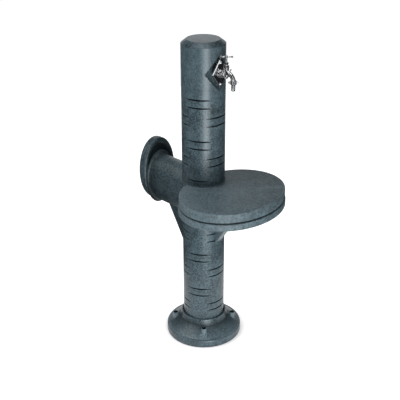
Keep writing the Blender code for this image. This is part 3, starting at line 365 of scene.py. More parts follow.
def block(name: str, low: Sequence[float], high: Sequence[float]) -> Obj:
    """Makes a box between two corners, as a cutter.

    Args:
        name: Name of the new object.
        low: Its lowest corner.
        high: Its highest corner.

    Returns:
        The box.
    """
    bm = bmesh.new()
    low, high = Vector(low), Vector(high)
    bmesh.ops.create_cube(bm, size=1, matrix=Matrix.LocRotScale((low + high) / 2, None, high - low))
    return to_object(name, bm)


def plate(name: str, outline: Sequence[Point], half_width: float) -> Obj:
    """Makes a plate from an outline of (y, z) points, centred on x = 0."""
    return skin(name, [[Vector((x, y, z)) for y, z in outline] for x in (-half_width, half_width)])


def move(obj: Obj, *matrices: Matrix) -> Obj:
    """Moves an object's mesh by the product of some matrices.

    Args:
        obj: The object.
        *matrices: Moves in the order of their product.

    Returns:
        The same object.
    """
    for matrix in reversed(matrices):
        obj.data.transform(matrix)
    return obj


def modified(obj: Obj, kind: str, **values: object) -> Obj:
    """Replaces an object's mesh with what one modifier makes of it.

    Args:
        obj: The object.
        kind: Type of the modifier.
        **values: Its settings.

    Returns:
        The changed object.
    """
    modifier = obj.modifiers.new(kind, kind)
    for name, value in values.items():
        setattr(modifier, name, value)
    bpy.context.view_layer.update()
    graph = bpy.context.evaluated_depsgraph_get()
    mesh, old = bpy.data.meshes.new_from_object(obj.evaluated_get(graph)), obj.data
    obj.modifiers.clear()
    obj.data = mesh
    bpy.data.meshes.remove(old)
    return obj


def combine(obj: Obj, other: Obj, how: Cut) -> Obj:
    """Applies a Boolean to an object's mesh, and uses up the second solid.

    Args:
        obj: The solid that is changed.
        other: The second solid.
        how: Which combination is made.

    Returns:
        The changed object.
    """
    modified(obj, "BOOLEAN", operation=how.value, object=other, solver="EXACT")
    discard(other)
    return obj


def discard(*objects: Obj) -> None:
    """Removes helper objects and their meshes.

    Args:
        *objects: The helpers.
    """
    for obj in objects:
        mesh = obj.data
        bpy.data.objects.remove(obj)
        bpy.data.meshes.remove(mesh)


def soften(obj: Obj, width: float, segments: int = 3, degrees: float = 35) -> Obj:
    """Rounds the edges of a mesh that are sharper than some degrees."""
    return modified(obj, "BEVEL", width=width, segments=segments, limit_method="ANGLE",
                    angle_limit=math.radians(degrees), use_clamp_overlap=True)


def cast(obj: Obj, voxel: float, passes: int) -> Obj:
    """Rebuilds joined solids on a fine grid and smooths them into one casting."""
    modified(obj, "REMESH", mode="VOXEL", voxel_size=voxel)
    return modified(obj, "SMOOTH", factor=0.5, iterations=passes)


def mark(obj: Obj, name: str, share_of: Callable[[Vector], float]) -> None:
    """Stores each point's share of a mark for the plastic's finish: painted shade with dirt, or
    painted light.
    """
    layer = obj.data.attributes.new(name, "FLOAT", "POINT")
    layer.data.foreach_set("value", [clamp(share_of(v.co)) for v in obj.data.vertices])


# ---------------------------------------------------------------------------
# Finishes


class Nodes:
    """Short hand for wiring one node tree."""

    def __init__(self, tree: bpy.types.NodeTree) -> None:
        """Takes over a tree."""
        self.tree = tree

    def add(self, kind: str, **values: object) -> bpy.types.Node:
        """Adds a node and sets its properties.

        Args:
            kind: Type of the node, without its first word.
            **values: Its properties.

        Returns:
            The node.
        """
        node = self.tree.nodes.new("ShaderNode" + kind)
        for key, value in values.items():
            setattr(node, key, value)
        return node

    def wire(self, value: Value, target: Socket) -> None:
        """Links a socket to another, or gives it a plain number or colour.

        Args:
            value: A socket, a number, or the parts of a vector or colour.
            target: The input it goes into.
        """
        if isinstance(value, Socket):
            self.tree.links.new(value, target)
        elif isinstance(value, (int, float)):
            target.default_value = value
        else:
            target.default_value = (*value, 1.0)[:len(target.default_value)]

    def apply(self, kind: str, result: str | int, inputs: dict[str | int, Value],
              **values: object) -> Socket:
        """Adds a node, fills its inputs and gives one of its outputs.

        Args:
            kind: Type of the node.
            result: Name or number of the output.
            inputs: What goes into each named or numbered input.
            **values: Properties of the node.

        Returns:
            The output.
        """
        node = self.add(kind, **values)
        for key, value in inputs.items():
            self.wire(value, node.inputs[key])
        return node.outputs[result]

    def ramp(self, value: Value, low: float, high: float, out_low: float = 0.0,
             out_high: float = 1.0) -> Socket:
        """Stretches a value from one range to another, and clamps it."""
        return self.apply("MapRange", "Result", {"Value": value, "From Min": low, "From Max": high,
                                                 "To Min": out_low, "To Max": out_high})

    def math(self, operation: str, first: Value, second: Value) -> Socket:
        """Combines two values."""
        return self.apply("Math", "Value", {0: first, 1: second}, operation=operation)

    def blend(self, share: Value, first: Value, second: Value) -> Socket:
        """Mixes two colours by the share of the second one."""
        return self.apply("Mix", 2, {"Factor": share, 6: first, 7: second}, data_type="RGBA")

    def shown_directly(self) -> Socket:
        """Adds a switch that is on where something is seen directly, mirrored or through glass.

        Returns:
            The switch, 0 or 1.
        """
        path = self.add("LightPath").outputs
        seen = self.math("MAXIMUM", path["Is Camera Ray"], path["Is Glossy Ray"])
        return self.math("MAXIMUM", seen, path["Is Transmission Ray"])


class Recipe(Nodes):
    """Short hand for building one material."""

    def __init__(self, name: str) -> None:
        """Starts a material with a surface shader.

        Args:
            name: Name of the material.
        """
        self.material = bpy.data.materials.new(name)
        self.material.use_nodes = True
        super().__init__(self.material.node_tree)
        self.shader = self.tree.nodes["Principled BSDF"]

    def feed(self, **inputs: Value) -> bpy.types.Material:
        """Fills inputs of the shader, named with underscores for blanks, and gives the material.

        Args:
            **inputs: What goes into each input.

        Returns:
            The material.
        """
        for name, value in inputs.items():
            self.wire(value, self.shader.inputs[name.replace("_", " ")])
        return self.material

    def noise(self, scale: float, detail: float = 3.0, rough: float = 0.55,
              stretch: Sequence[float] | None = None, turn: float = 0.0) -> Socket:
        """Adds a noise pattern.

        Args:
            scale: Waves per metre.
            detail: Octaves of finer noise.
            rough: Strength of the finer octaves.
            stretch: Factors on the three directions.
            turn: Rotation of a stretched pattern about Z, in degrees.

        Returns:
            The pattern's value, about 0.5 on average.
        """
        place = self.add("TexCoord").outputs["Object"]
        if stretch:
            place = self.apply("Mapping", "Vector", {"Vector": place, "Scale": stretch,
                                                     "Rotation": (0, 0, math.radians(turn))})
        return self.apply("TexNoise", "Fac", {"Vector": place, "Scale": scale, "Detail": detail,
                                              "Roughness": rough})

    def marked(self, name: str) -> Socket:
        """Reads one of the marks stored on a piece's points."""
        return self.add("Attribute", attribute_name=name).outputs["Fac"]

    def bump(self, height: Value, strength: float, distance: float,
             under: Socket | None = None) -> Socket:
        """Turns a height pattern into a surface normal, over another one where it is given."""
        inputs = {"Height": height, "Strength": strength, "Distance": distance}
        return self.apply("Bump", "Normal", inputs | ({"Normal": under} if under else {}))


@dataclass(frozen=True)
class MouldedPlastic:
    """Coloured outdoor plastic with a fine grain from its mould, plus painted shade and painted
    light laid where each piece stores them.
    """

    name: str = "moulded_blue_grey"
    pale: Colour = (0.056, 0.086, 0.101)
    deep: Colour = (0.011, 0.019, 0.023)
    # Near-black laid in the arcs, holes, gaps and on shaded sides: painted shade, with some dirt in
    # the arcs.
    painted_shade_and_grime: Colour = (0.003, 0.005, 0.006)
    # Pale colour laid where a piece should look lit: painted light and painted highlights.
    dust: Colour = (0.110, 0.150, 0.168)
    gloss: float = 0.36
    worn_gloss: float = 0.22
    shine: float = 0.5
    sheen: Colour = (0.87, 0.96, 1.0)
    streak_turn: float = 38

    def build(self, streaked: bool = False) -> bpy.types.Material:
        """Builds the material.

        Args:
            streaked: Whether faint wiped streaks cross the surface.

        Returns:
            The material.
        """
        recipe = Recipe(self.name + ("_streaked" if streaked else ""))
        mottle = recipe.noise(120 if streaked else 200, 3, 0.7)
        shade = recipe.math("ADD", recipe.math("MULTIPLY", recipe.noise(26, 4, 0.6), 0.25),
                            recipe.math("MULTIPLY", mottle, 0.75))
        colour = recipe.blend(recipe.ramp(shade, 0.42, 0.58), self.deep, self.pale)
        if streaked:
            streaks = recipe.noise(1, 3, 0.6, (200, 22, 40), self.streak_turn)
            scores = recipe.noise(1, 2, 0.5, (150, 9, 40), self.streak_turn)
            colour = recipe.blend(recipe.ramp(streaks, 0.50, 0.70, 0.0, 0.5), colour, self.pale)
            colour = recipe.blend(recipe.ramp(scores, 0.60, 0.72, 0.0, 0.5), colour, self.deep)
        edge = recipe.add("NewGeometry").outputs["Pointiness"]
        colour = recipe.blend(recipe.ramp(edge, 0.515, 0.56, 0.0, 0.30), colour,
                              tuple(1.35 * c for c in self.pale))
        # Painted light: the pale colour laid by the stored share, broken up by noise.
        patchy_painted_light = recipe.math("MULTIPLY", recipe.marked("dust"),
                             recipe.ramp(recipe.noise(170, 4, 0.75), 0.40, 0.60, 0.3, 1.0))
        # Painted shade: near-black laid by the stored share, with less reflection there as well.
        painted_shade_grime_share = recipe.marked("painted_shade_grime_share")
        colour = recipe.blend(painted_shade_grime_share, recipe.blend(patchy_painted_light, colour, self.dust), self.painted_shade_and_grime)
        gloss = self.gloss + (self.worn_gloss if streaked else 0.0)
        soft = recipe.bump(mottle, 0.10, 0.0012)
        return recipe.feed(
            Base_Color=colour, Specular_Tint=self.sheen,
            Roughness=recipe.ramp(mottle, 0.3, 0.7, gloss - 0.05, gloss + 0.08),
            Specular_IOR_Level=recipe.ramp(painted_shade_grime_share, 0.0, 1.0, self.shine, 0.08),
            Normal=recipe.bump(recipe.noise(1500, 2, 0.5), 0.22, 0.0003, soft))


@dataclass(frozen=True)
class PolishedChrome:
    """Bright plating over a polished casting, with faint smears."""

    name: str = "polished_chrome"
    colour: Colour = (0.92, 0.93, 0.94)
    shadow: Colour = (0.62, 0.64, 0.66)

    def build(self) -> bpy.types.Material:
        """Builds the material.

        Returns:
            The material.
        """
        recipe = Recipe(self.name)
        specks = recipe.ramp(recipe.noise(2600, 2, 0.5), 0.70, 0.80, 0.0, 0.5)
        return recipe.feed(
            Base_Color=recipe.blend(specks, self.colour, self.shadow), Metallic=1.0,
            Roughness=recipe.ramp(recipe.noise(180, 4, 0.6), 0.4, 0.75, 0.03, 0.11),
            Normal=recipe.bump(recipe.noise(320, 2), 0.05, 0.0004))


@dataclass(frozen=True)
class MachinedMetal:
    """Turned or rolled metal with fine tool marks and dull patches."""

    name: str
    colour: Colour
    dull: Colour
    roughness: float = 0.28

    def build(self) -> bpy.types.Material:
        """Builds the material.

        Returns:
            The material.
        """
        recipe = Recipe(self.name)
        patches = recipe.noise(120, 4, 0.6)
        marks = recipe.noise(1, 2, 0.5, (300, 300, 5200))
        return recipe.feed(
            Base_Color=recipe.blend(recipe.ramp(patches, 0.45, 0.72), self.colour, self.dull),
            Metallic=1.0, Normal=recipe.bump(marks, 0.12, 0.0002),
            Roughness=recipe.ramp(patches, 0.3, 0.75, self.roughness - 0.08, self.roughness + 0.18))


@dataclass(frozen=True)
class DullStuff:
    """Rubber or bare pipe plastic, with dust and fine scuffs."""

    name: str
    colour: Colour
    dusty: Colour
    roughness: float = 0.6

    def build(self) -> bpy.types.Material:
        """Builds the material.

        Returns:
            The material.
        """
        recipe = Recipe(self.name)
        dust = recipe.ramp(recipe.noise(90, 5, 0.65), 0.45, 0.75, 0.0, 0.7)
        scuffs = recipe.noise(1, 3, 0.6, (700, 700, 60))
        return recipe.feed(
            Base_Color=recipe.blend(dust, self.colour, self.dusty),
            Roughness=recipe.ramp(scuffs, 0.3, 0.7, self.roughness - 0.1, self.roughness + 0.1),
            Normal=recipe.bump(scuffs, 0.15, 0.0002))


class Paintshop:
    """Holds one material for each finish and dresses pieces in them."""

    def __init__(self) -> None:
        """Builds every finish once."""
        plastic = MouldedPlastic()
        self.finishes: dict[Slot, bpy.types.Material] = {
            Slot.PLASTIC: plastic.build(),
            Slot.CHROME: PolishedChrome().build(),
            Slot.BRASS: MachinedMetal("turned_brass", (0.66, 0.49, 0.23),
                                      (0.40, 0.29, 0.15)).build(),
            Slot.STEEL: MachinedMetal("plain_steel", (0.60, 0.60, 0.59),
                                      (0.42, 0.42, 0.42)).build(),
            Slot.RUBBER: DullStuff("black_rubber", (0.022, 0.022, 0.023),
                                   (0.07, 0.07, 0.068), 0.7).build(),
            Slot.PIPE: DullStuff("pale_pipe", (0.62, 0.63, 0.61), (0.42, 0.41, 0.38), 0.42).build(),
        }
        self.streaked = plastic.build(streaked=True)
        self.satin = MachinedMetal("satin_plating", (0.82, 0.83, 0.84), (0.66, 0.67, 0.68),
                                   0.30).build()

    def redress_nodes(self, nodes: dict[str, Obj], subparts: Iterable[dict]) -> None:
        """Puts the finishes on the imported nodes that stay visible.

        Args:
            nodes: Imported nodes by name.
            subparts: The record's list of node and slot.
        """
        for row in subparts:
            materials = nodes[row["node"]].data.materials
            materials.clear()
            materials.append(self.finishes[Slot(row["material_slot"])])


# ---------------------------------------------------------------------------
# Shared layout


@dataclass
class Layout:
    """Places that the sub-assemblies share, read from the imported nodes."""

    paint: Paintshop

    def __post_init__(self) -> None:
        """Finds the column's axis and size."""
        low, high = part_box("column")
        self.axis_y = (low.y + high.y) / 2
        self.column_radius = (high.x - low.x) / 2
        self.column_low, self.column_high = low.z, high.z

    def box(self, node: str) -> tuple[Vector, Vector]:
        """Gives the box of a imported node, counted from the column's axis.

        Args:
            node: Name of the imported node.

        Returns:
            Its lowest and highest corners.
        """
        axis = Vector((0, self.axis_y, 0))
        low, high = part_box(node)
        return low - axis, high - axis

    def trunk(self, low: float, high: float) -> Obj:
        """Makes a cutter with the column's shape and the gap round it."""
        return rod("trunk_cutter", self.column_radius + GAP, low, high, 160)

    def settle(self, obj: Obj, *nodes: str, slot: Slot = Slot.PLASTIC, body: Body = Body.POST,
               degrees: float = 35, finish: bpy.types.Material | None = None,
               centred: bool = True) -> None:
        """Finishes a piece: place, shading, finish, body and the nodes it stands for.

        Args:
            obj: The piece.
            *nodes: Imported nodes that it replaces.
            slot: Its material slot.
            body: The body it rides on.
            degrees: Angle above which an edge stays sharp.
            finish: What it is dressed in, where that is not its slot's own finish.
            centred: Whether the piece was modelled round the column's axis.
        """
        if centred:
            obj.location = (0, self.axis_y, 0)
        obj.data.shade_smooth()
        obj.data.set_sharp_from_angle(angle=math.radians(degrees))
        obj.data.materials.clear()
        obj.data.materials.append(finish or self.paint.finishes[slot])
        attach(obj, body.value)
        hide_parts(*nodes)
        LOG.info("%s: %d faces", obj.name, len(obj.data.polygons))


# ---------------------------------------------------------------------------
# Column and cap


@dataclass
class Column:
    """Moulded column with arcs cut into its side and a diamond recess for the tap."""

    layout: Layout
    wall: float = 0.005
    groove_depth: float = 0.0042
    groove_half_height: float = 0.0027
    groove_half_angle: float = math.radians(38)
    groove_section: tuple[Point, ...] = (
        (-1.0, 0.0), (-0.80, 0.62), (-0.45, 0.93), (0.0, 1.0), (0.45, 0.93), (0.80, 0.62),
        (1.0, 0.0))
    groove_shade_and_grime: float = 1.25
    pair_gap: float = 0.025
    period: float = 0.130
    first_low_pair: float = 0.1205
    offset_between_families: float = 0.057
    pairs: int = 6
    recess_height: float = 0.918
    recess_depth: float = 0.0175
    recess_half: float = 0.056
    recess_floor_half: float = 0.042
    recess_edge: float = 0.0016
    recess_painted_light: float = 0.9
    lining: float = 0.0084
    posts: tuple[tuple[float, float, float], ...] = (
        (0, 0.0165, 0.0103), (0.0318, 0.0055, 0.002), (-0.0318, 0.0055, 0.002))
    post_end: float = 0.0652
    split: float = 0.850
    boss_ring: float = 0.057
    boss_radius: float = 0.006
    boss_bore: float = 0.0018
    boss_height: float = 0.030
    # Painted shade above the shelf: its strength, height, fall-off, and how much of it the open
    # side loses.
    shelf_shade: float = 0.78
    shade_height: float = 0.12
    shade_power: float = 2.2
    open_side_share: float = 0.8
    steps: int = 160

    def __post_init__(self) -> None:
        """Lists each ring of arcs as (height, angle of its first arc)."""
        front = -math.pi / 2
        lows = [self.first_low_pair + i * self.period + side * self.pair_gap / 2
                for i in range(self.pairs) for side in (-1, 1)]
        self.rings = sorted(
            [(low, front) for low in lows]
            + [(low + self.offset_between_families, front + math.pi / 3) for low in lows])
        self.radius = self.layout.column_radius
        self.floor = self.radius - self.recess_depth
        self.shelf_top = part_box("shelf_top")[1].z

    def groove_ring(self, height: float, first: float, across: float, depth: float) -> Ring:
        """Makes one ring of points through a ring of arcs.

        Args:
            height: Z of the arcs' middle line.
            first: Angle of the middle of the first arc.
            across: Place across the groove, from -1 to 1.
            depth: Share of the full depth there.

        Returns:
            The points.
        """
        ring = []
        for i in range(self.steps):
            angle = math.tau * i / self.steps
            nearest = (angle - first + math.pi / 3) % (math.tau / 3) - math.pi / 3
            full = max(0.0, 1 - (nearest / self.groove_half_angle) ** 2)
            rise = across * self.groove_half_height * (0.12 + 0.88 * math.sqrt(full))
            inner = self.radius - self.groove_depth * depth * full**0.7
            ring.append(Vector((inner * math.cos(angle), inner * math.sin(angle), height + rise)))
        return ring

    def shaft(self) -> Obj:
        """Builds the grooved shaft below the recess.

        Returns:
            The shaft with its screw bosses.
        """
        inner, low = self.radius - self.wall, self.layout.column_low
        rings = [ring_at(low, self.steps, reach) for reach in (inner, self.radius)]
        previous = low
        for height, first in self.rings:
            rings += [ring_at(previous + (height - previous) * share, self.steps, self.radius)
                      for share in (0.5, 0.75)]
            rings += [self.groove_ring(height, first, *place) for place in self.groove_section]
            previous = height
        rings += [ring_at(self.split, self.steps, reach) for reach in (self.radius, inner)]
        shaft = skin("column_shaft", rings, looped=True)
        for i in range(4):
            boss = sleeve("foot_screw_boss", self.boss_bore, self.boss_radius, low,
                          low + self.boss_height, steps=32)
            combine(shaft, move(boss, around(i / 4, self.boss_ring)), Cut.JOIN)
        return shaft

    def frustum(self, near: float, extra: float) -> Obj:
        """Makes the recess's diamond block.

        Args:
            near: Distance of its small end in front of the axis.
            extra: How much larger than the recess it is.

        Returns:
            The block.
        """
        side = math.sqrt(self.radius**2 - self.floor**2) + 0.0007
        slope = (self.recess_half - self.recess_floor_half) / self.recess_depth
        rings = []
        for forward in (near, self.radius + 2 * FREE):
            half = self.recess_floor_half + slope * (forward - self.floor) + extra
            width = half * side / self.recess_floor_half
            rings.append([Vector((x, -forward, self.recess_height + z))
                          for x, z in ((width, 0), (0, half), (-width, 0), (0, -half))])
        return skin("recess_block", rings)

    def head(self) -> Obj:
        """Builds the top of the column with its recess, open at the bottom.

        Returns:
            The head, cut off level at the split.
        """
        low, high = self.split - 0.006, self.layout.column_high
        solid = rod("column_head", self.radius, low, high, self.steps)
        void = rod("head_void", self.radius - self.wall, low - FREE, high + FREE, self.steps)
        combine(void, self.frustum(self.floor - 0.006, self.lining), Cut.REMOVE)
        combine(solid, void, Cut.REMOVE)
        combine(solid, self.frustum(self.floor, 0), Cut.REMOVE)
        for height, size, bore in self.posts:
            spot = Matrix.Translation((0, 0, self.recess_height + height)), Axis.FRONT.matrix
            post = rod("recess_post", size, self.floor - 0.003, self.post_end, 48)
            combine(solid, move(post, *spot), Cut.JOIN)
            hole = rod("recess_hole", bore, self.floor - 0.012, self.post_end + FREE, 48)
            combine(solid, move(hole, *spot), Cut.REMOVE)
        soften(solid, self.recess_edge, 3, 30)
        bm = bmesh.new()
        bm.from_mesh(solid.data)
        bmesh.ops.bisect_plane(bm, geom=[*bm.verts, *bm.edges, *bm.faces], dist=1e-6,
                               plane_co=(0, 0, self.split), plane_no=(0, 0, 1), clear_inner=True)
        bm.to_mesh(solid.data)
        bm.free()
        return solid

    def painted_shade_and_grime(self, point: Vector) -> float:
        """Share of painted shade: in the arcs, with some dirt there, and above the shelf but for
        its open side.

        Args:
            point: A point of the mesh.

        Returns:
            Its share of painted shade and dirt.
        """
        share = 0.0
        # Painted shade, with some dirt, deepest at the bottom of each arc.
        if any(abs(point.z - height) < self.groove_half_height for height, _ in self.rings):
            distance = math.hypot(point.x, point.y)
            share = self.groove_shade_and_grime * max(0.0, self.radius - distance) / self.groove_depth
        # Painted shade where the shelf shades the column, less on its open side.
        above = point.z - self.shelf_top
        if -0.002 < above < self.shade_height:
            leftness = (point.y - point.x) / math.sqrt(2) / self.radius
            shade = self.shelf_shade * (1 - self.open_side_share * clamp((leftness - 0.45) / 0.4))
            nearness = 1 - max(0.0, above) / self.shade_height
            share = max(share, shade * nearness**self.shade_power)
        return share

    def pale(self, point: Vector) -> float:
        """Share of painted light: the recess walls drawn lighter, in place of the light that would
        fill it.
        """
        inside = math.hypot(point.x, point.y) < self.radius - 0.0004
        return self.recess_painted_light * (inside and abs(point.z - self.recess_height) < self.recess_half)

    def build(self) -> None:
        """Joins shaft and head into one piece and dresses it."""
        shaft, head = self.shaft(), self.head()
        bm = bmesh.new()
        bm.from_mesh(shaft.data)
        rim = [f for f in bm.faces if all(abs(v.co.z - self.split) < 1e-6 for v in f.verts)]
        bmesh.ops.delete(bm, geom=rim, context="FACES_ONLY")
        bm.from_mesh(head.data)
        bmesh.ops.remove_doubles(bm, verts=bm.verts, dist=2e-5)
        discard(shaft, head)
        column = to_object("column_moulding", bm)
        # Painted shade and dirt in the arcs, painted shade above the shelf.
        mark(column, "painted_shade_grime_share", self.painted_shade_and_grime)
        # Painted light: the recess walls drawn lighter.
        mark(column, "dust", self.pale)
        self.layout.settle(column, "column", degrees=30)


@dataclass
class Cap:
    """Chamfered lid plugged into the column."""

    layout: Layout
    chamfer_run: float = 0.0165
    chamfer_drop: float = 0.013
    wall: float = 0.004
    edges: tuple[float, ...] = (0, 0.0025, 0.0012, 0.0004, 0.0004, 0.0008, 0.0008, 0.002, 0.002, 0)

    def build(self) -> None:
        """Builds the lid."""
        low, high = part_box("top_cap")
        radius, seat = self.layout.column_radius, self.layout.column_high + GAP
        edge, flat, plug = radius - 0.0002, radius - self.chamfer_run, radius - 0.0053
        foot = high.z - self.chamfer_drop
        corners = [(0, high.z), (flat, high.z - 0.0004), (edge, foot), (edge, seat), (plug, seat),
                   (plug, low.z), (plug - self.wall, low.z), (plug - self.wall, foot - self.wall),
                   (flat, high.z - self.wall), (0, high.z - self.wall)]
        outline = rounded(corners, self.edges, steps=6)
        self.layout.settle(turned("cap_moulding", outline, 160), "top_cap")


# ---------------------------------------------------------------------------
# Base


@dataclass
class Base:
    """Round bolt-down foot with a socket for the column."""

    layout: Layout
    rim_height: float = 0.025
    rim_wall: float = 0.006
    ledge: float = 0.0075
    wall: float = 0.005
    collar_foot: float = 0.0555
    collar_gap: float = 0.003
    collar_lip: float = 0.004
    collar_flare: float = 0.0045
    gap_depth: float = 0.0105
    seat: float = 0.030
    seat_opening: float = 0.052
    boss_radius: float = 0.0093
    boss_top: float = 0.0585
    hole_radius: float = 0.0052
    mouth_radius: float = 0.0074
    mouth_depth: float = 0.0035
    anchor_ring: float = 0.0962
    ribs: int = 8
    rib_half: float = 0.0017
    screw_ring: float = 0.057
    screw_hole: float = 0.0024
    cone_painted_light: float = 0.36
    boss_painted_light: float = 0.8
    gap_painted_shade: float = 0.9
    collar_painted_shade: float = 0.68
    edges: tuple[float, ...] = (0.0016, 0.003, 0.0025, 0.0035, 0.0012, 0.001, 0.002, 0.002, 0.001,
                                0.001, 0.001, 0, 0, 0, 0.0010)
    boss_edges: tuple[float, ...] = (0.0007, 0.0005, 0.0005, 0.0006, 0.0003)

    def __post_init__(self) -> None:
        """Finds the foot's outline."""
        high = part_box("base_flange")[1]
        self.radius, self.top = high.x, high.z
        self.inner = self.layout.column_radius + self.collar_gap
        self.flare = self.inner + self.collar_lip + self.collar_flare
        self.cone_foot = self.radius - self.ledge
        self.slope = (self.collar_foot - self.rim_height) / (self.cone_foot - self.flare)
        turns = [math.tau * (i + 0.5) / 4 for i in range(4)]
        self.anchors = [self.anchor_ring * Vector((math.cos(turn), math.sin(turn)))
                        for turn in turns]

    def under(self, distance: float) -> float:
        """Height of the cone's underside at a distance from the axis."""
        drop = self.wall * math.hypot(1, self.slope)
        return self.rim_height + (self.cone_foot - distance) * self.slope - drop

    def painted_shade_and_grime(self, point: Vector) -> float:
        """Share of painted shade: in the holes, in the collar's gap and along the collar.

        Args:
            point: A point of the mesh.

        Returns:
            Its share of painted shade.
        """
        # Painted shade: the anchor holes drawn black.
        reach = min((point.xy - anchor).length for anchor in self.anchors)
        if reach < self.mouth_radius + 0.0001 and point.z < self.boss_top + 0.001:
            return 1.0
        distance = math.hypot(point.x, point.y)
        below_lip = point.z < self.top - 0.0015
        if distance < self.inner + 0.0006 and below_lip:
            return self.gap_painted_shade
        on_collar = distance < self.flare + 0.002 and self.collar_foot - 0.002 < point.z
        return self.collar_painted_shade if on_collar and below_lip else 0.0

    def dusty(self, point: Vector) -> float:
        """Share of painted light: the bosses and the cone drawn lighter.

        Args:
            point: A point of the mesh.

        Returns:
            Its share of painted light.
        """
        reach = min((point.xy - anchor).length for anchor in self.anchors)
        if self.mouth_radius + 0.0002 < reach < self.boss_radius + 0.0003:
            return self.boss_painted_light
        return self.cone_painted_light if self.rim_height - 0.001 < point.z < self.collar_foot else 0.0

    def build(self) -> None:
        """Builds the foot with its bosses, holes and ribs."""
        socket = self.layout.column_radius + 0.0004
        outer, rim = socket + self.wall, self.radius - self.rim_wall
        seat_low, gap_low = self.seat - 0.006, self.top - self.gap_depth
        corners = [(self.inner + self.collar_lip, self.top), (self.flare, self.collar_foot),
                   (self.cone_foot, self.rim_height), (self.radius, self.rim_height),
                   (self.radius, 0), (rim, 0), (rim, self.under(rim)), (outer, self.under(outer)),
                   (outer, seat_low), (self.seat_opening, seat_low), (self.seat_opening, self.seat),
                   (socket, self.seat), (socket, gap_low - 0.002), (self.inner, gap_low),
                   (self.inner, self.top)]
        foot = turned("foot_moulding", rounded(corners, self.edges, closed=True), 144, closed=True)
        start, end = outer - 0.002, rim + 0.003
        for i in range(self.ribs):
            web = [(start, self.seat), (start, 0.004), (end, 0.004), (end, self.under(rim) + 0.001),
                   (start, self.under(outer) + 0.002)]
            rib = plate("foot_rib", web, self.rib_half)
            combine(foot, move(rib, around(i / self.ribs)), Cut.JOIN)
        profile = rounded([(self.hole_radius, self.boss_top - self.mouth_depth),
                           (self.hole_radius, 0), (self.boss_radius, 0),
                           (self.boss_radius, self.boss_top), (self.mouth_radius, self.boss_top)],
                          self.boss_edges, closed=True)
        for i in range(4):
            spot = around((i + 0.5) / 4, self.anchor_ring)
            drill = rod("anchor_drill", self.hole_radius + 0.001, -FREE, 0.09, 48)
            combine(foot, move(drill, spot), Cut.REMOVE)
            combine(foot, move(turned("anchor_boss", profile, 48, closed=True), spot), Cut.JOIN)
        for i in range(4):
            drill = rod("seat_drill", self.screw_hole, -FREE, 0.05, 24)
            combine(foot, move(drill, around(i / 4, self.screw_ring)), Cut.REMOVE)
        # Painted shade in the holes and round the collar.
        mark(foot, "painted_shade_grime_share", self.painted_shade_and_grime)
        # Painted light: the bosses and the cone drawn lighter.
        mark(foot, "dust", self.dusty)
        self.layout.settle(foot, "base_flange", degrees=32)


# ---------------------------------------------------------------------------
# Shelf and brackets


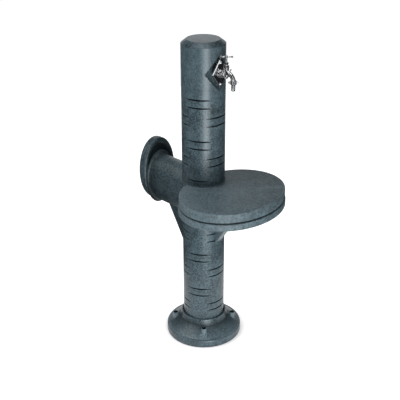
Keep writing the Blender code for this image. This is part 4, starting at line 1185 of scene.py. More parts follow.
@dataclass
class Shelf:
    """Two stacked oval discs round the front of the column."""

    layout: Layout
    half_depth: float = 0.145
    lip_line: float = 0.0005
    slot_depth: float = 0.004
    lower_growth: float = 0.0022
    upper_edges: tuple[float, ...] = (0, 0.0004, 0.0003, 0.0003, 0.0004, 0.0042, 0.0025, 0)
    lower_edges: tuple[float, ...] = (0, 0.0003, 0.0006, 0.0024, 0.0030, 0)
    top_painted_light: float = 0.34
    rim_painted_highlight: float = 0.22
    slot_painted_shade: float = 0.9

    def __post_init__(self) -> None:
        """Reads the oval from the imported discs."""
        low, high = self.layout.box("shelf_top")
        self.top, self.top_under, self.half_width = high.z, low.z, high.x
        self.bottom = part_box("shelf_base")[0].z
        self.slot_low = self.top_under - self.slot_depth
        self.centre, self.end = low.y + self.half_depth, high.y

    def trimmed(self, disc: Obj, edge: float) -> None:
        """Cuts a disc to fit round the column and squares off its two ends.

        Args:
            disc: Disc modelled round the shelf's own middle.
            edge: Rounding of the new edges.
        """
        move(disc, Matrix.Translation((0, self.centre, 0)))
        low, high = self.bottom - FREE, self.top + FREE
        combine(disc, self.layout.trunk(low, high), Cut.REMOVE)
        combine(disc, block("shelf_end", (-0.3, self.end, low), (0.3, 0.3, high)), Cut.REMOVE)
        soften(disc, edge, 2, 50)

    def dusty(self, point: Vector) -> float:
        """Share of painted light: a painted highlight along the top's edge all round and on the
        rim, and a top drawn lighter, most of all towards its left.

        Args:
            point: A point of the mesh.

        Returns:
            Its share of painted light.
        """
        y = point.y - self.centre
        edge = math.hypot(point.x / self.half_width, y / self.half_depth)
        leftness = (y - point.x) / self.half_width
        # Painted highlight along the top's edge.
        if point.z > self.top - 0.0012 and 0.958 < edge < 0.992:
            return 0.45 + 0.55 * max(0.0, leftness)
        # Painted highlight on the rim, strongest on the left.
        if edge > 0.985:
            return self.rim_painted_highlight * (1 + 2.6 * max(0.0, leftness) ** 3)
        # Painted light on the top, stronger on the left.
        return self.top_painted_light * (1 + leftness) if point.z > self.top - 0.0015 else 0.0

    def build(self) -> None:
        """Builds both discs."""
        under, top, low, bottom = self.top_under, self.top, self.slot_low, self.bottom
        lip, middle = top - self.lip_line, 0.10
        outline = rounded([(middle, top), (0.0078, top), (0.0070, lip), (0.0058, lip),
                           (0.0050, top), (0, top), (0, under), (middle, under)],
                          self.upper_edges, steps=5)
        upper = oval_turned("shelf_upper_moulding", self.half_width, self.half_depth, outline)
        self.trimmed(upper, 0.0009)
        # Painted highlights on the edge and the rim, painted light on the top.
        mark(upper, "dust", self.dusty)
        self.layout.settle(upper, "shelf_top", degrees=32, finish=self.layout.paint.streaked)
        tongue, inset = under - GAP, self.slot_depth + self.lower_growth
        outline = rounded([(middle, tongue), (inset, tongue), (inset, low), (0, low), (0, bottom),
                           (middle, bottom)], self.lower_edges, steps=5)
        lower = oval_turned("shelf_lower_moulding", self.half_width + self.lower_growth,
                            self.half_depth + self.lower_growth, outline)
        self.trimmed(lower, 0.0007)
        for i in range(1, 6):
            screw_low, screw_high = self.layout.box(f"shelf_screw_{i}")
            spot = (screw_low + screw_high) / 2
            sink = turned("screw_sink", [(0, bottom - FREE), (0.0047, bottom - FREE),
                                         (0.0047, bottom + 0.006), (0.0023, bottom + 0.006),
                                         (0.0023, top - 0.012), (0, top - 0.012)], 32)
            combine(lower, move(sink, Matrix.Translation((spot.x, spot.y, 0))), Cut.REMOVE)
        # Painted highlight on the rim.
        mark(lower, "dust", self.dusty)
        # Painted shade on the lower disc's tongue, in the slot between the discs.
        mark(lower, "painted_shade_grime_share", lambda p: self.slot_painted_shade if p.z > low + 0.0002 else 0.0)
        self.layout.settle(lower, "shelf_base", degrees=32, finish=self.layout.paint.streaked)


@dataclass
class Bracket:
    """Triangular rib between the column and what it carries."""

    layout: Layout
    name: str
    node: str
    side: int
    edge_round: float = 0.0022
    shade: float = 0.45

    def build(self) -> None:
        """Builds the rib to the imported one's size."""
        low, high = self.layout.box(self.node)
        near = self.side * (self.layout.column_radius + GAP)
        start = near - self.side * 0.012
        if self.side < 0:
            outline = [(start, high.z), (low.y, high.z)]
        else:
            outline = [(start, high.z + 0.02), (high.y, high.z + 0.02), (high.y, high.z)]
        rib = plate(self.name, outline + [(near, low.z), (start, low.z)], (high.x - low.x) / 2)
        soften(rib, self.edge_round, 3)
        combine(rib, self.layout.trunk(low.z - 0.03, high.z + 0.03), Cut.REMOVE)
        if self.side > 0:
            combine(rib, self.arm_solid(), Cut.REMOVE)
            # Painted shade over the whole gusset.
            mark(rib, "painted_shade_grime_share", lambda _: self.shade)
        self.layout.settle(rib, self.node, degrees=32)

    def arm_solid(self) -> Obj:
        """Makes the arm's outer shape as a cutter.

        Returns:
            The cutter.
        """
        low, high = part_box("hose_arm")
        rings = [ring_at(-reach, 120, high.x + GAP, (high.z - low.z) / 2 + GAP)
                 for reach in (0.02, 0.30)]
        return move(skin("arm_cutter", rings), Matrix.Translation((0, 0, (low.z + high.z) / 2)),
                    Axis.FRONT.matrix)


# ---------------------------------------------------------------------------
# Hose holder


@dataclass
class HoseHolder:
    """Oval arm and end disc that carry coils of hose."""

    layout: Layout
    wall: float = 0.005
    flare: float = 0.011
    dish: float = 0.0045
    rim_band: float = 0.013
    disc_edges: tuple[float, ...] = (0, 0.0125, 0.008, 0.004, 0.006, 0.003, 0)
    screw_bore: float = 0.0024
    screw_sink: float = 0.0048
    top_painted_light: float = 0.5
    steps: int = 160

    def __post_init__(self) -> None:
        """Reads the arm's and the disc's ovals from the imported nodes."""
        low, high = self.layout.box("hose_arm")
        self.arm_z, self.arm_half = (low.z + high.z) / 2, (high.x, (high.z - low.z) / 2)
        self.arm_low, self.arm_high, self.arm_end = low.z, high.z, high.y
        low, high = self.layout.box("hose_disc")
        self.disc_z, self.disc_half = (low.z + high.z) / 2, (high.x, (high.z - low.z) / 2)
        self.face, self.thick = low.y, high.y - low.y

    def arm_painted_shade(self, point: Vector) -> float:
        """Share of painted shade on the arm: a little all over, more below and near the disc.

        Args:
            point: A point of the mesh.

        Returns:
            Its share of painted shade.
        """
        half = self.arm_half[1]
        below = clamp((self.arm_z + 0.6 * half - point.z) / (1.6 * half))
        near_disc = clamp((point.y - self.face + 0.075) / 0.06)
        return 0.12 + 0.25 * below + 0.45 * near_disc

    def arm(self) -> None:
        """Builds the hollow arm with its flare at the disc."""
        half_x, half_z = self.arm_half
        root = self.face - self.flare
        stations = [(0.03, 0.0), (0.09, 0.0), (0.15, 0.0), (root - 0.002, 0.0)]
        for turn in (math.pi / 2 * i / 8 for i in range(1, 9)):
            stations.append((root + self.flare * math.sin(turn) - 0.0004,
                             self.flare * (1 - math.cos(turn))))
        fit, inner = -self.wall - GAP, -2 * self.wall
        stations += [(self.face - 0.0004, fit), (self.arm_end, fit), (self.arm_end, inner),
                     (0.03, inner)]
        rings = [ring_at(-forward, self.steps, half_x + grow, half_z + grow)
                 for forward, grow in stations]
        arm = skin("hose_arm_moulding", rings, looped=True)
        move(arm, Matrix.Translation((0, 0, self.arm_z)), Axis.FRONT.matrix)
        combine(arm, self.layout.trunk(self.arm_low - 0.03, self.arm_high + 0.03), Cut.REMOVE)
        # Painted shade on the arm.
        mark(arm, "painted_shade_grime_share", self.arm_painted_shade)
        # Painted highlight along the arm's top.
        mark(arm, "dust", lambda p: self.top_painted_light * max(0.0, (p.z - self.arm_z) / half_z) ** 4)
        self.layout.settle(arm, "hose_arm", degrees=32)

    def disc_painted_shadow(self, point: Vector) -> float:
        """Share of painted shadow on the disc: its dished face, most of all at the top, where the
        column shades it.

        Args:
            point: A point of the mesh.

        Returns:
            Its share of painted shadow.
        """
        if point.y > self.face + 0.012:
            return 0.0
        above = point.z - self.disc_z
        edge = math.hypot(point.x / self.disc_half[0], above / self.disc_half[1])
        dish = 0.25 + 0.75 * clamp((0.97 - edge) / 0.22)
        return dish * (0.62 + 0.34 * clamp(0.5 + above / 0.07))

    def disc(self) -> None:
        """Builds the end disc with its rolled rim and dished inner face."""
        band, thick, dish = self.rim_band, self.thick, self.dish
        outline = rounded([(0.060, thick), (0, thick), (0, 0), (band, 0), (band + 0.007, dish),
                           (0.0345, dish * 0.2), (0.060, dish * 0.2)], self.disc_edges, steps=7)
        disc = oval_turned("hose_disc_moulding", *self.disc_half, outline)
        bore = [half - self.wall for half in self.arm_half]
        pocket = skin("disc_pocket", [ring_at(height, 120, *bore)
                                      for height in (-FREE, self.arm_end - self.face + GAP)])
        move(pocket, Matrix.Translation((0, self.arm_z - self.disc_z, 0)))
        combine(disc, pocket, Cut.REMOVE)
        floor, bore, sink = thick - 0.0045, self.screw_bore, self.screw_sink
        for i in (1, 2):
            low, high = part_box(f"hose_disc_screw_{i}")
            hole = turned("disc_sink", [(0, -FREE), (bore, -FREE), (bore, floor), (sink, floor),
                                        (sink, thick + FREE), (0, thick + FREE)], 32)
            move(hole, Matrix.Translation((0, (low.z + high.z) / 2 - self.disc_z, 0)))
            combine(disc, hole, Cut.REMOVE)
        move(disc, Matrix(((1, 0, 0, 0), (0, 0, 1, self.face), (0, 1, 0, self.disc_z),
                           (0, 0, 0, 1))))
        disc.data.flip_normals()
        # Painted shadow of the column on the disc's face.
        mark(disc, "painted_shade_grime_share", self.disc_painted_shadow)
        self.layout.settle(disc, "hose_disc", degrees=32)

    def build(self) -> None:
        """Builds the arm and the disc."""
        self.arm()
        self.disc()


# ---------------------------------------------------------------------------
# Tap


@dataclass
class Tap:
    """Bib tap on a diamond wall plate, with a union and hose tail."""

    layout: Layout
    plate_holes: tuple[Point, ...] = ((0, 0.0103), (0.0318, 0.0021), (-0.0318, 0.0021))
    rosette_edges: tuple[float, ...] = (0.0002, 0.0005, 0.0022, 0.0006, 0.0003)
    barrel_edges: tuple[float, ...] = (0, 0.002, 0.003, 0.001, 0.0004, 0.0003, 0)
    spout_radii: Point = (0.0074, 0.0063)
    spout_steps: int = 28
    thread_radius: float = 0.0076
    thread_root: float = 0.0069
    thread_pitch: float = 0.0014
    shank_start: float = 0.0265
    finial_slant: float = math.radians(27)
    finial_ball: float = 0.0026
    stem_radius: float = 0.0013
    stem_end: float = -0.0105
    headwork_bore: float = 0.0034
    spindle_foot: float = 0.0031
    spindle_radius: float = 0.0029
    tang_radius: float = 0.0022
    hub_section: tuple[Point, ...] = (
        (0, -0.0038), (0.0030, -0.0040), (0.0043, -0.0026), (0.0045, 0.0), (0.0043, 0.0026),
        (0.0030, 0.0040), (0, 0.0038))
    bar_ball: float = 0.0032
    bar_turn: float = math.radians(-45)
    nut_radius: float = 0.0098
    nut_bore: float = 0.0079
    nut_lip: float = 0.0069
    lip_height: float = 0.0024
    nut_edges: tuple[float, ...] = (0.0012, 0.0012, 0.0003, 0.0002, 0.0002, 0.0004)
    flutes: int = 24
    flute_depth: float = 0.035
    wing_turn: float = math.radians(-45)
    wing_half: float = 0.0024
    wing_section: tuple[Point, ...] = (
        (0.0083, -0.0034), (0.0115, -0.0038), (0.0142, -0.0026), (0.0142, 0.0022),
        (0.0115, 0.0034), (0.0083, 0.0032))
    wing_edges: tuple[float, ...] = (0, 0.002, 0.0022, 0.0022, 0.002, 0)
    tail_radius: float = 0.0060
    tail_bore: float = 0.0044
    barbs: int = 5
    barb_height: float = 0.0006

    def __post_init__(self) -> None:
        """Finds the tap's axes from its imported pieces."""
        low, high = self.layout.box("wall_plate")
        self.plate_back, self.plate_face = -high.y, -low.y
        self.plate_half, self.height = (high.x, (high.z - low.z) / 2), (low.z + high.z) / 2
        low, high = self.layout.box("tap_bonnet")
        self.barrel, self.barrel_top = -(low.y + high.y) / 2, high.z - 0.0115
        low, high = self.layout.box("outlet_tail")
        self.outlet, self.spout_end = -(low.y + high.y) / 2, high.z + 0.0022
        self.on_barrel = Matrix.Translation((0, -self.barrel, 0))
        self.on_outlet = Matrix.Translation((0, -self.outlet, 0))
        self.on_inlet = Matrix.Translation((0, 0, self.height)) @ Axis.FRONT.matrix

    def finish(self, obj: Obj, place: Matrix, node: str, body: Body = Body.POST) -> None:
        """Moves a plated piece to its axis and settles it there."""
        self.layout.settle(move(obj, place), node, slot=Slot.CHROME, body=body)

    def wall_plate(self) -> None:
        """Builds the diamond plate with its bevelled edge."""
        back, face = self.plate_back, self.plate_face
        rings = []
        for forward, shrink in ((back, 0.985), (back + 0.0010, 1.0), (face - 0.0018, 1.0),
                                (face, 0.94)):
            flat = ring_at(0, 4, *(half * shrink for half in self.plate_half))
            rings.append([Vector((corner.x, -forward, self.height + corner.y)) for corner in flat])
        made = skin("diamond_plate", rings)
        for offset, size in self.plate_holes:
            hole = rod("plate_hole", size, back - FREE, face + FREE, 48)
            combine(made, move(hole, Matrix.Translation((0, 0, offset)), self.on_inlet), Cut.REMOVE)
        soften(made, 0.0005, 2, 20)
        self.layout.settle(made, "wall_plate", slot=Slot.CHROME, degrees=18)

    def collar(self) -> None:
        """Builds the cupped rosette behind the tap's inlet."""
        low, high = self.layout.box("tap_collar")
        near, far, bore, radius = -high.y, -low.y, 0.0104, high.x
        outline = rounded([(bore, near), (radius, near), (radius, near + 0.0016), (0.0118, far),
                           (bore, far)], self.rosette_edges, closed=True, steps=6)
        self.finish(turned("inlet_rosette", outline, closed=True), self.on_inlet, "tap_collar")

    def body(self) -> None:
        """Builds the casting: shank, flange, barrel and spout."""
        bottom, top, end = self.height - 0.0105, self.barrel_top, self.spout_end
        outline = rounded([(0, bottom), (0.0045, bottom), (0.0080, self.height - 0.004),
                           (0.0080, top - 0.0035), (0.0089, top - 0.0028), (0.0089, top), (0, top)],
                          self.barrel_edges, steps=5)
        casting = move(turned("tap_casting", outline, 64), self.on_barrel)
        start = self.plate_face + 0.004
        neck = [(0, start), (0.0078, start), (0.0066, start + 0.0085), (0.0072, self.barrel),
                (0, self.barrel)]
        made = turned("tap_neck", rounded(neck, 0.002), 64)
        combine(casting, move(made, self.on_inlet), Cut.JOIN)
        path = cubic([Vector((0, -self.barrel, self.height + 0.0105)),
                      Vector((0, -self.barrel - 0.008, self.height + 0.0075)),
                      Vector((0, -self.outlet, end + 0.018)),
                      Vector((0, -self.outlet, end + 0.0005))], self.spout_steps)
        wide, narrow = self.spout_radii
        radii = [wide - (wide - narrow) * i / self.spout_steps for i in range(self.spout_steps + 1)]
        combine(casting, tube("tap_spout", path, radii), Cut.JOIN)
        cast(casting, 0.00042, 6)
        crest, root, bore = self.thread_radius, self.thread_root, 0.0042
        thread = [(bore, end), (crest, end)]
        for height in (end + 0.0006 + self.thread_pitch * i for i in range(5)):
            thread += [(crest, height), (root, height + self.thread_pitch / 2)]
        thread += [(crest, end + 0.0075), (0.0062, end + 0.0085), (bore, end + 0.0085)]
        made = turned("outlet_thread", thread, 64, closed=True)
        combine(casting, move(made, self.on_outlet), Cut.JOIN)
        near = self.plate_face + 0.0066
        flange = hex_nut("inlet_hexagon", 0.0124, near, near + 0.0034, 0.0050)
        combine(casting, move(flange, self.on_inlet), Cut.JOIN)
        shank = sleeve("inlet_shank", 0.0045, 0.0100, self.shank_start, near + 0.001, 0.0004)
        combine(casting, move(shank, self.on_inlet), Cut.JOIN)
        self.layout.settle(casting, "tap_body", slot=Slot.CHROME, degrees=40)

    def finial(self) -> None:
        """Builds the small ball on the spout's shoulder."""
        low, high = self.layout.box("tap_finial")
        ball = self.finial_ball
        outline = [(0, ball)]
        outline += [(ball * math.sin(math.pi * i / 14), ball * math.cos(math.pi * i / 14))
                    for i in range(1, 12)]
        outline += [(self.stem_radius, -0.0028), (self.stem_radius, self.stem_end),
                    (0, self.stem_end)]
        aim = Vector((0, -math.sin(self.finial_slant), math.cos(self.finial_slant)))
        tip = Matrix.Translation((0, low.y + ball, high.z - ball))
        self.finish(turned("spout_finial", outline, 40),
                    tip @ aim.to_track_quat("Z", "X").to_matrix().to_4x4(), "tap_finial")

    def headwork(self) -> None:
        """Builds the bonnet and the gland nut."""
        low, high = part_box("tap_bonnet")
        base, top, bore = self.barrel_top + GAP, high.z - 0.0032, self.headwork_bore
        bonnet = hex_nut("headwork_bonnet", 0.0092, base, base + 0.0052, bore)
        neck = rounded([(bore, base + 0.001), (0.0062, base + 0.001), (0.0062, base + 0.0060),
                        (0.0050, base + 0.0068), (0.0050, top), (bore, top)], 0.0004, closed=True)
        combine(bonnet, turned("bonnet_neck", neck, 64, closed=True), Cut.JOIN)
        thread = sleeve("bonnet_thread", bore, 0.0057, low.z, base + 0.001, 0.0003)
        combine(bonnet, thread, Cut.JOIN)
        self.finish(bonnet, self.on_barrel, "tap_bonnet")
        low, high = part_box("tap_gland_nut")
        nut = hex_nut("gland_nut", 0.0072, low.z, high.z - 0.0008, bore, 0.0006)
        crown = rounded([(bore, high.z - 0.002), (0.0056, high.z - 0.002), (0.0050, high.z),
                         (bore, high.z)], 0.0004, closed=True)
        combine(nut, turned("gland_crown", crown, 64, closed=True), Cut.JOIN)
        self.finish(nut, self.on_barrel, "tap_gland_nut")

    def spindle(self) -> None:
        """Builds the spindle that turns with the handle."""
        low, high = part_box("tap_spindle")
        foot, radius, tang = self.spindle_foot, self.spindle_radius, self.tang_radius
        step, top = low.z + 0.0034, high.z - 0.0002
        outline = rounded([(0, low.z), (foot, low.z), (foot, step), (radius, step),
                           (radius, high.z - 0.0070), (tang, high.z - 0.0062), (tang, top),
                           (0, top)], 0.0003, steps=3)
        made = move(turned("handle_spindle", outline, 48), self.on_barrel)
        self.layout.settle(made, "tap_spindle", slot=Slot.BRASS, body=Body.SPINDLE,
                           finish=self.layout.paint.finishes[Slot.CHROME])

    def handle(self) -> None:
        """Builds the tommy bar with its hub, balls and top screw."""
        low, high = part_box("tap_handle")
        middle, ball = (low.z + high.z) / 2, self.bar_ball
        reach = (high.x - low.x) / 2 * math.sqrt(2) - 0.0033 * 0.45
        hub = rounded([(radius, middle + height) for radius, height in self.hub_section], 0.0008)
        made = turned("tommy_bar", hub, 64)
        profile = [(0.0, -reach - 0.0001)]
        profile += [(ball * math.sin(turn), -reach + ball - ball * math.cos(turn))
                    for turn in (math.pi * i / 12 for i in range(1, 10))]
        profile += [(0.0017, -reach + 2 * ball), (0.0022, -0.005), (0.0024, 0.0)]
        profile += [(radius, -height) for radius, height in profile[-2::-1]]
        bar = turned("bar_rod", profile, 40)
        move(bar, Matrix.Translation((0, 0, middle)), Matrix.Rotation(self.bar_turn, 4, "Z"),
             Matrix.Rotation(math.pi / 2, 4, "Y"))
        combine(made, bar, Cut.JOIN)
        self.finish(made, self.on_barrel, "tap_handle", Body.SPINDLE)
        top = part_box("handle_screw")[1].z
        head = rounded([(0, top), (0.0026, top - 0.0005), (0.0031, top - 0.0016),
                        (0, top - 0.0016)], [0, 0.0008, 0.0003, 0])
        screw = turned("handle_top_screw", head, 48)
        groove = block("screw_slot", (-0.0035, -0.0004, top - 0.0008),
                       (0.0035, 0.0004, top + 0.001))
        combine(screw, groove, Cut.REMOVE)
        self.finish(screw, self.on_barrel, "handle_screw", Body.SPINDLE)

    def grip(self, angle: float) -> float:
        """Gives the factor on the nut's radius that makes its flutes."""
        return 1.0 - self.flute_depth * (0.5 + 0.5 * math.cos(self.flutes * angle)) ** 3

    def union(self) -> None:
        """Builds the winged nut and the barbed hose tail."""
        low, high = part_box("outlet_nut")
        lip_top, middle = low.z + self.lip_height, (low.z + high.z) / 2
        radius, bore, lip = self.nut_radius, self.nut_bore, self.nut_lip
        outline = rounded([(radius, high.z), (radius, low.z), (lip, low.z), (lip, lip_top),
                           (bore, lip_top), (bore, high.z)], self.nut_edges, closed=True)
        nut = turned("winged_nut", outline, 192, closed=True, factor=self.grip)
        blade = rounded([(y, middle + z) for y, z in self.wing_section], self.wing_edges,
                        closed=True, steps=5)
        for side in (0.0, math.pi):
            wing = soften(plate("nut_wing", blade, self.wing_half), 0.0007, 2)
            move(wing, Matrix.Rotation(self.wing_turn + side - math.pi / 2, 4, "Z"))
            combine(nut, wing, Cut.JOIN)
        self.finish(nut, self.on_outlet, "outlet_nut", Body.UNION_NUT)
        low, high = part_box("outlet_tail")
        radius, bore, crest = self.tail_radius, self.tail_bore, self.tail_radius + self.barb_height
        start, flange = high.z - 0.0072, 0.0076
        profile = [(flange, high.z), (flange, high.z - 0.0020), (radius, high.z - 0.0022)]
        for top in (start - (start - low.z) * i / self.barbs for i in range(self.barbs)):
            profile += [(radius - 0.0001, top), (crest, top - 0.0005), (crest, top - 0.0009)]
        profile += [(radius - 0.0006, low.z), (bore, low.z), (bore, high.z)]
        outline = rounded(profile, 0.00015, closed=True, steps=2)
        tail = turned("barbed_tail", outline, 72, closed=True)
        self.finish(tail, self.on_outlet, "outlet_tail", Body.HOSE_TAIL)

    def build(self) -> None:
        """Builds every visible piece of the tap."""
        for step in (self.wall_plate, self.collar, self.body, self.finial, self.headwork,
                     self.spindle, self.handle, self.union):
            step()


# ---------------------------------------------------------------------------
# Screws and plumbing


@dataclass
class Screws:
    """Pan-head screws with a cross recess, one for each packed screw."""

    layout: Layout
    head_section: tuple[Point, ...] = ((0, 0), (0.0022, -0.0003), (0.0036, -0.0011),
                                       (0.0042, -0.0022), (0.0042, -0.0029))
    head_edges: tuple[float, ...] = (0, 0.003, 0.002, 0.0004, 0.0002)
    shank: float = 0.0020
    root_share: float = 0.80
    pitch: float = 0.0011
    cross_half: Point = (0.0021, 0.00045)
    cross_depth: float = 0.0015
    cross_turn: float = 0.4
    rows: tuple[tuple[str, int, Axis, Slot], ...] = (
        ("wall_plate_screw", 2, Axis.FRONT, Slot.CHROME),
        ("shelf_screw", 5, Axis.DOWN, Slot.STEEL),
        ("column_foot_screw", 4, Axis.DOWN, Slot.STEEL),
        ("hose_disc_screw", 2, Axis.BACK, Slot.STEEL),
        ("hose_arm_screw", 2, Axis.FRONT, Slot.STEEL),
        ("arm_bracket_screw", 2, Axis.FRONT, Slot.STEEL),
        ("shelf_bracket_screw", 2, Axis.BACK, Slot.STEEL),
        ("elbow_screw", 2, Axis.BACK, Slot.STEEL))

    def one(self, node: str, heads: Axis, slot: Slot) -> None:
        """Builds one screw.

        Args:
            node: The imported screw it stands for.
            heads: Direction its head faces.
            slot: Its finish.
        """
        low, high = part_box(node)
        along = heads.matrix @ Vector((0, 0, 1))
        length = abs((high - low).dot(along))
        root = self.shank * self.root_share
        outline = [*self.head_section, (self.shank, -0.0030)]
        height = -0.0042
        while height > -length + 0.003:
            outline += [(self.shank, height), (root, height - self.pitch / 2)]
            height -= self.pitch
        outline += [(root, -length + 0.0016), (0.0002, -length + 0.0001), (0, -length)]
        edges = [*self.head_edges, *[0.0] * (len(outline) - len(self.head_edges))]
        screw = turned(node + "_fine", rounded(outline, edges), 36)
        half_x, half_y = self.cross_half
        for turn in (0, math.pi / 2):
            cross = block("cross", (-half_x, -half_y, -self.cross_depth), (half_x, half_y, 0.001))
            combine(screw, move(cross, Matrix.Rotation(turn + self.cross_turn, 4, "Z")), Cut.REMOVE)
        move(screw, Matrix.Translation((low + high) / 2 + along * length / 2), heads.matrix)
        self.layout.settle(screw, node, slot=slot, degrees=40, centred=False,
                           finish=self.layout.paint.satin if slot is Slot.CHROME else None)

    def build(self) -> None:
        """Builds every screw that holds the post together."""
        for stem, count, heads, slot in self.rows:
            for i in range(1, count + 1):
                self.one(f"{stem}_{i}", heads, slot)


@dataclass
class Plumbing:
    """Supply pipe inside the column, seen from below."""

    layout: Layout
    wall: float = 0.0025
    thread: float = 0.0105
    socket_depth: float = 0.015

    def build(self) -> None:
        """Builds the pipe and its coupling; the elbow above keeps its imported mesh."""
        low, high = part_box("riser_pipe")
        spot = Matrix.Translation((0, (low.y + high.y) / 2, 0))
        radius, bore = high.x, high.x - self.wall
        pipe = sleeve("supply_pipe", bore, radius, low.z, high.z, 0.0004)
        self.layout.settle(move(pipe, spot), "riser_pipe", slot=Slot.PIPE, centred=False)
        low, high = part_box("inlet_coupling")
        outer, socket, stop = high.x, radius + GAP, high.z - self.socket_depth
        waist, hex_low, hex_high = outer - 0.0012, low.z + 0.016, low.z + 0.028
        coupling = turned("supply_coupling", rounded(
            [(outer - 0.0008, high.z), (outer, high.z - 0.004), (waist, high.z - 0.006),
             (waist, hex_low), (self.thread, hex_low), (self.thread, hex_high), (bore, hex_high),
             (bore, stop), (socket, stop), (socket, high.z)], 0.0006, closed=True, steps=3),
            72, closed=True)
        end = hex_nut("coupling_hexagon", outer, low.z, low.z + 0.018, self.thread, 0.0012)
        combine(coupling, end, Cut.JOIN)
        self.layout.settle(move(coupling, spot), "inlet_coupling", slot=Slot.BRASS, centred=False)


# ---------------------------------------------------------------------------
# Studio


def toward(turn: float, rise: float) -> Vector:
    """Gives the direction at an azimuth from the front and an elevation."""
    flat = math.cos(rise)
    return Vector((math.sin(turn) * flat, -math.cos(turn) * flat, math.sin(rise)))


@dataclass(frozen=True)
class SoftBox:
    """One rectangular lamp, placed by its direction from the object."""

    name: str
    azimuth: float
    elevation: float
    distance: float
    size: tuple[float, float]
    watts: float
    aim_height: float = 0.5
    mirrored: bool = True

    def build(self, camera_azimuth: float, spared: bpy.types.Collection) -> None:
        """Adds the lamp to the scene.

        Args:
            camera_azimuth: Direction of the camera, which the lamp's own azimuth is counted from.
            spared: Pieces that the lamp leaves alone.
        """
        lamp = bpy.data.lights.new(self.name, "AREA")
        lamp.shape = "RECTANGLE"
        lamp.size, lamp.size_y = self.size
        lamp.energy = self.watts
        obj = bpy.data.objects.new(self.name, lamp)
        reach = toward(camera_azimuth + math.radians(self.azimuth), math.radians(self.elevation))
        obj.location = Vector((0, 0, self.aim_height)) + reach * self.distance
        obj.rotation_euler = reach.to_track_quat("Z", "Y").to_euler()
        obj.visible_camera = False
        obj.visible_glossy = self.mirrored
        obj.light_linking.receiver_collection = spared
        bpy.context.scene.collection.objects.link(obj)


@dataclass(frozen=True)
class DarkScreen:
    """Dark boards round the post that polished metal mirrors, out of the camera's sight.

    The spans are upright boards; one ring lies on the ground inside them and one at their top.
    """

    name: str = "studio_boards"
    spans: tuple[tuple[float, float], ...] = ((-150, -60), (-54, 3), (21, 60), (66, 150))
    radius: float = 1.25
    low: float = 0.05
    high: float = 2.5
    ring: tuple[float, float] = (0.45, 1.25)
    ring_height: float = 0.002
    skylight: float = 0.90
    board_step: float = 6.0
    ring_steps: int = 48

    def build(self, camera_azimuth: float) -> None:
        """Adds the boards to the scene.

        Args:
            camera_azimuth: Direction of the camera, which the spans are counted from.
        """
        bm = bmesh.new()
        for first, last in self.spans:
            count = max(2, round((last - first) / self.board_step))
            rows = []
            for i in range(count + 1):
                turn = camera_azimuth + math.radians(first + (last - first) * i / count)
                foot = toward(turn, 0) * self.radius
                rows.append([bm.verts.new((foot.x, foot.y, z)) for z in (self.low, self.high)])
            for (low_a, high_a), (low_b, high_b) in zip(rows, rows[1:]):
                bm.faces.new((low_a, low_b, high_b, high_a))
        for height, opening in ((self.ring_height, self.ring[0]), (self.high, self.skylight)):
            steps = self.ring_steps
            inner, outer = ([bm.verts.new(point) for point in ring_at(height, steps, reach)]
                            for reach in (opening, self.ring[1]))
            for i in range(steps):
                bm.faces.new((inner[i - 1], inner[i], outer[i], outer[i - 1]))
        screen = to_object(self.name, bm)
        paint = Recipe("studio_screen")
        screen.data.materials.append(paint.feed(Base_Color=(0.012, 0.012, 0.013), Roughness=0.9,
                                                Specular_IOR_Level=0.1))
        screen.visible_camera = screen.visible_diffuse = screen.visible_shadow = False


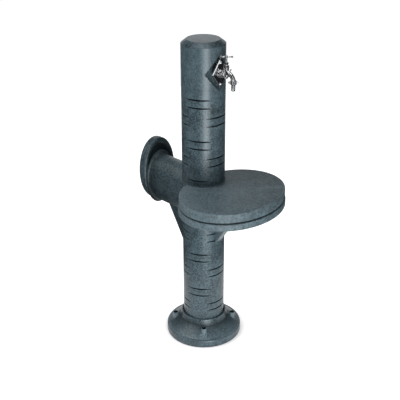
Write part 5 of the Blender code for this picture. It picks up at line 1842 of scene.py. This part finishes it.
@dataclass
class Studio:
    """Camera, floor, lamps and sky."""

    layout: Layout
    distance: float = 2.2485
    camera_height: float = 1.5818
    pitch: float = math.radians(25.996)
    yaw: float = 0.0051
    roll: float = -0.0042
    focal: float = 70.37
    azimuth: float = math.radians(-45)
    floor_half: float = 9.0
    floor_drop: float = 0.0002
    floor_grey: float = 0.45
    floor_glow: float = 0.94
    # Painted contact shadow in the floor's glow: its reach, fall-off, tint and samples.
    shadow_reach: float = 0.060
    shadow_power: float = 1.8
    shadow_tint: Colour = (0.09, 0.08, 0.10)
    shadow_samples: int = 8
    ambient: float = 0.18
    lamps: tuple[SoftBox, ...] = (
        SoftBox("strip_box", 13, 0, 1.15, (0.52, 0.9), 13.6, 0.46),
        SoftBox("low_box", 16, 0, 0.85, (0.50, 0.22), 2.2, 0.13),
        SoftBox("left_box", -75, 36, 1.9, (0.9, 1.0), 26, 0.60),
        SoftBox("right_box", 58, 18, 2.6, (0.8, 1.2), 18),
        SoftBox("top_box", -20, 75, 2.6, (1.2, 1.2), 16),
        SoftBox("back_box", 180, 12, 2.6, (1.4, 1.4), 22, mirrored=False),
    )
    screen: DarkScreen = DarkScreen()

    def camera(self) -> None:
        """Places the camera in front of the corner between the tap and the hose holder."""
        data = bpy.data.cameras.new("camera")
        data.lens = self.focal
        data.sensor_width = 36.0
        camera = bpy.data.objects.new("camera", data)
        camera.matrix_world = (
            Matrix.Translation((0, self.layout.axis_y, 0)) @ Matrix.Rotation(self.azimuth, 4, "Z")
            @ Matrix.Translation((0, -self.distance, self.camera_height))
            @ Matrix.Rotation(self.yaw, 4, "Z") @ Matrix.Rotation(math.pi / 2 - self.pitch, 4, "X")
            @ Matrix.Rotation(self.roll, 4, "Z"))
        bpy.context.scene.collection.objects.link(camera)
        bpy.context.scene.camera = camera

    def floor(self) -> None:
        """Adds a pale floor that keeps the post's shadow; its glow also carries a painted contact
        shadow, dimmed and tinted by ambient occlusion near the post.
        """
        bm = bmesh.new()
        bmesh.ops.create_grid(bm, x_segments=8, y_segments=8, size=self.floor_half)
        floor = to_object("studio_floor", bm)
        floor.location.z = -self.floor_drop
        paper = Recipe("studio_floor_paper")
        paper.feed(Base_Color=(self.floor_grey,) * 3, Roughness=1.0, Specular_IOR_Level=0.0)
        # Painted contact shadow: ambient occlusion near the post dims the glow and tints it.
        nearby = paper.apply("AmbientOcclusion", "AO", {"Distance": self.shadow_reach},
                             samples=self.shadow_samples)
        openness = paper.math("POWER", nearby, self.shadow_power)
        painted_shadow_tone = paper.blend(openness, self.shadow_tint, (1, 1, 1))
        strength = paper.math("MULTIPLY", paper.shown_directly(), self.floor_glow)
        glow = paper.apply("Emission", 0, {"Color": painted_shadow_tone, "Strength": strength})
        both = paper.apply("AddShader", 0, {0: paper.shader.outputs[0], 1: glow})
        paper.wire(both, paper.tree.nodes["Material Output"].inputs["Surface"])
        floor.data.materials.append(paper.material)

    def sky(self) -> None:
        """Sets a pale surround that is white where it is seen."""
        world = bpy.data.worlds.new("studio_surround")
        bpy.context.scene.world = world
        world.use_nodes = True
        air = Nodes(world.node_tree)
        background = air.tree.nodes["Background"]
        air.wire((1, 1, 1), background.inputs["Color"])
        level = air.ramp(air.shown_directly(), 0.0, 1.0, self.ambient)
        air.wire(level, background.inputs["Strength"])

    def mirrors(self) -> bpy.types.Collection:
        """Gathers the polished pieces, which show the room and not the lamps.

        Returns:
            A collection whose members are left out by the lamps it is given to.
        """
        chrome = self.layout.paint.finishes[Slot.CHROME]
        polished = bpy.data.collections.new("polished_pieces")
        for obj in bpy.context.scene.objects:
            if obj.type == "MESH" and chrome.name in obj.data.materials:
                polished.objects.link(obj)
        for member in polished.collection_objects:
            member.light_linking.link_state = "EXCLUDE"
        return polished

    def build(self) -> None:
        """Builds the whole studio."""
        bpy.context.scene.view_settings.view_transform = "Standard"
        self.camera()
        self.floor()
        self.sky()
        self.screen.build(self.azimuth)
        spared = self.mirrors()
        for lamp in self.lamps:
            lamp.build(self.azimuth, spared)


def main() -> None:
    """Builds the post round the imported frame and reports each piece."""
    logging.basicConfig(level=logging.INFO, format="%(name)s: %(message)s")
    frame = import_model()
    paint = Paintshop()
    paint.redress_nodes(frame["nodes"], frame["record"]["subparts"])
    layout = Layout(paint)
    for assembly in (Column(layout), Cap(layout), Base(layout), Shelf(layout),
                     Bracket(layout, "shelf_rib", "shelf_bracket", -1), HoseHolder(layout),
                     Bracket(layout, "arm_gusset", "arm_bracket", 1), Tap(layout), Screws(layout),
                     Plumbing(layout), Studio(layout)):
        assembly.build()


if __name__ == "__main__":
    main()
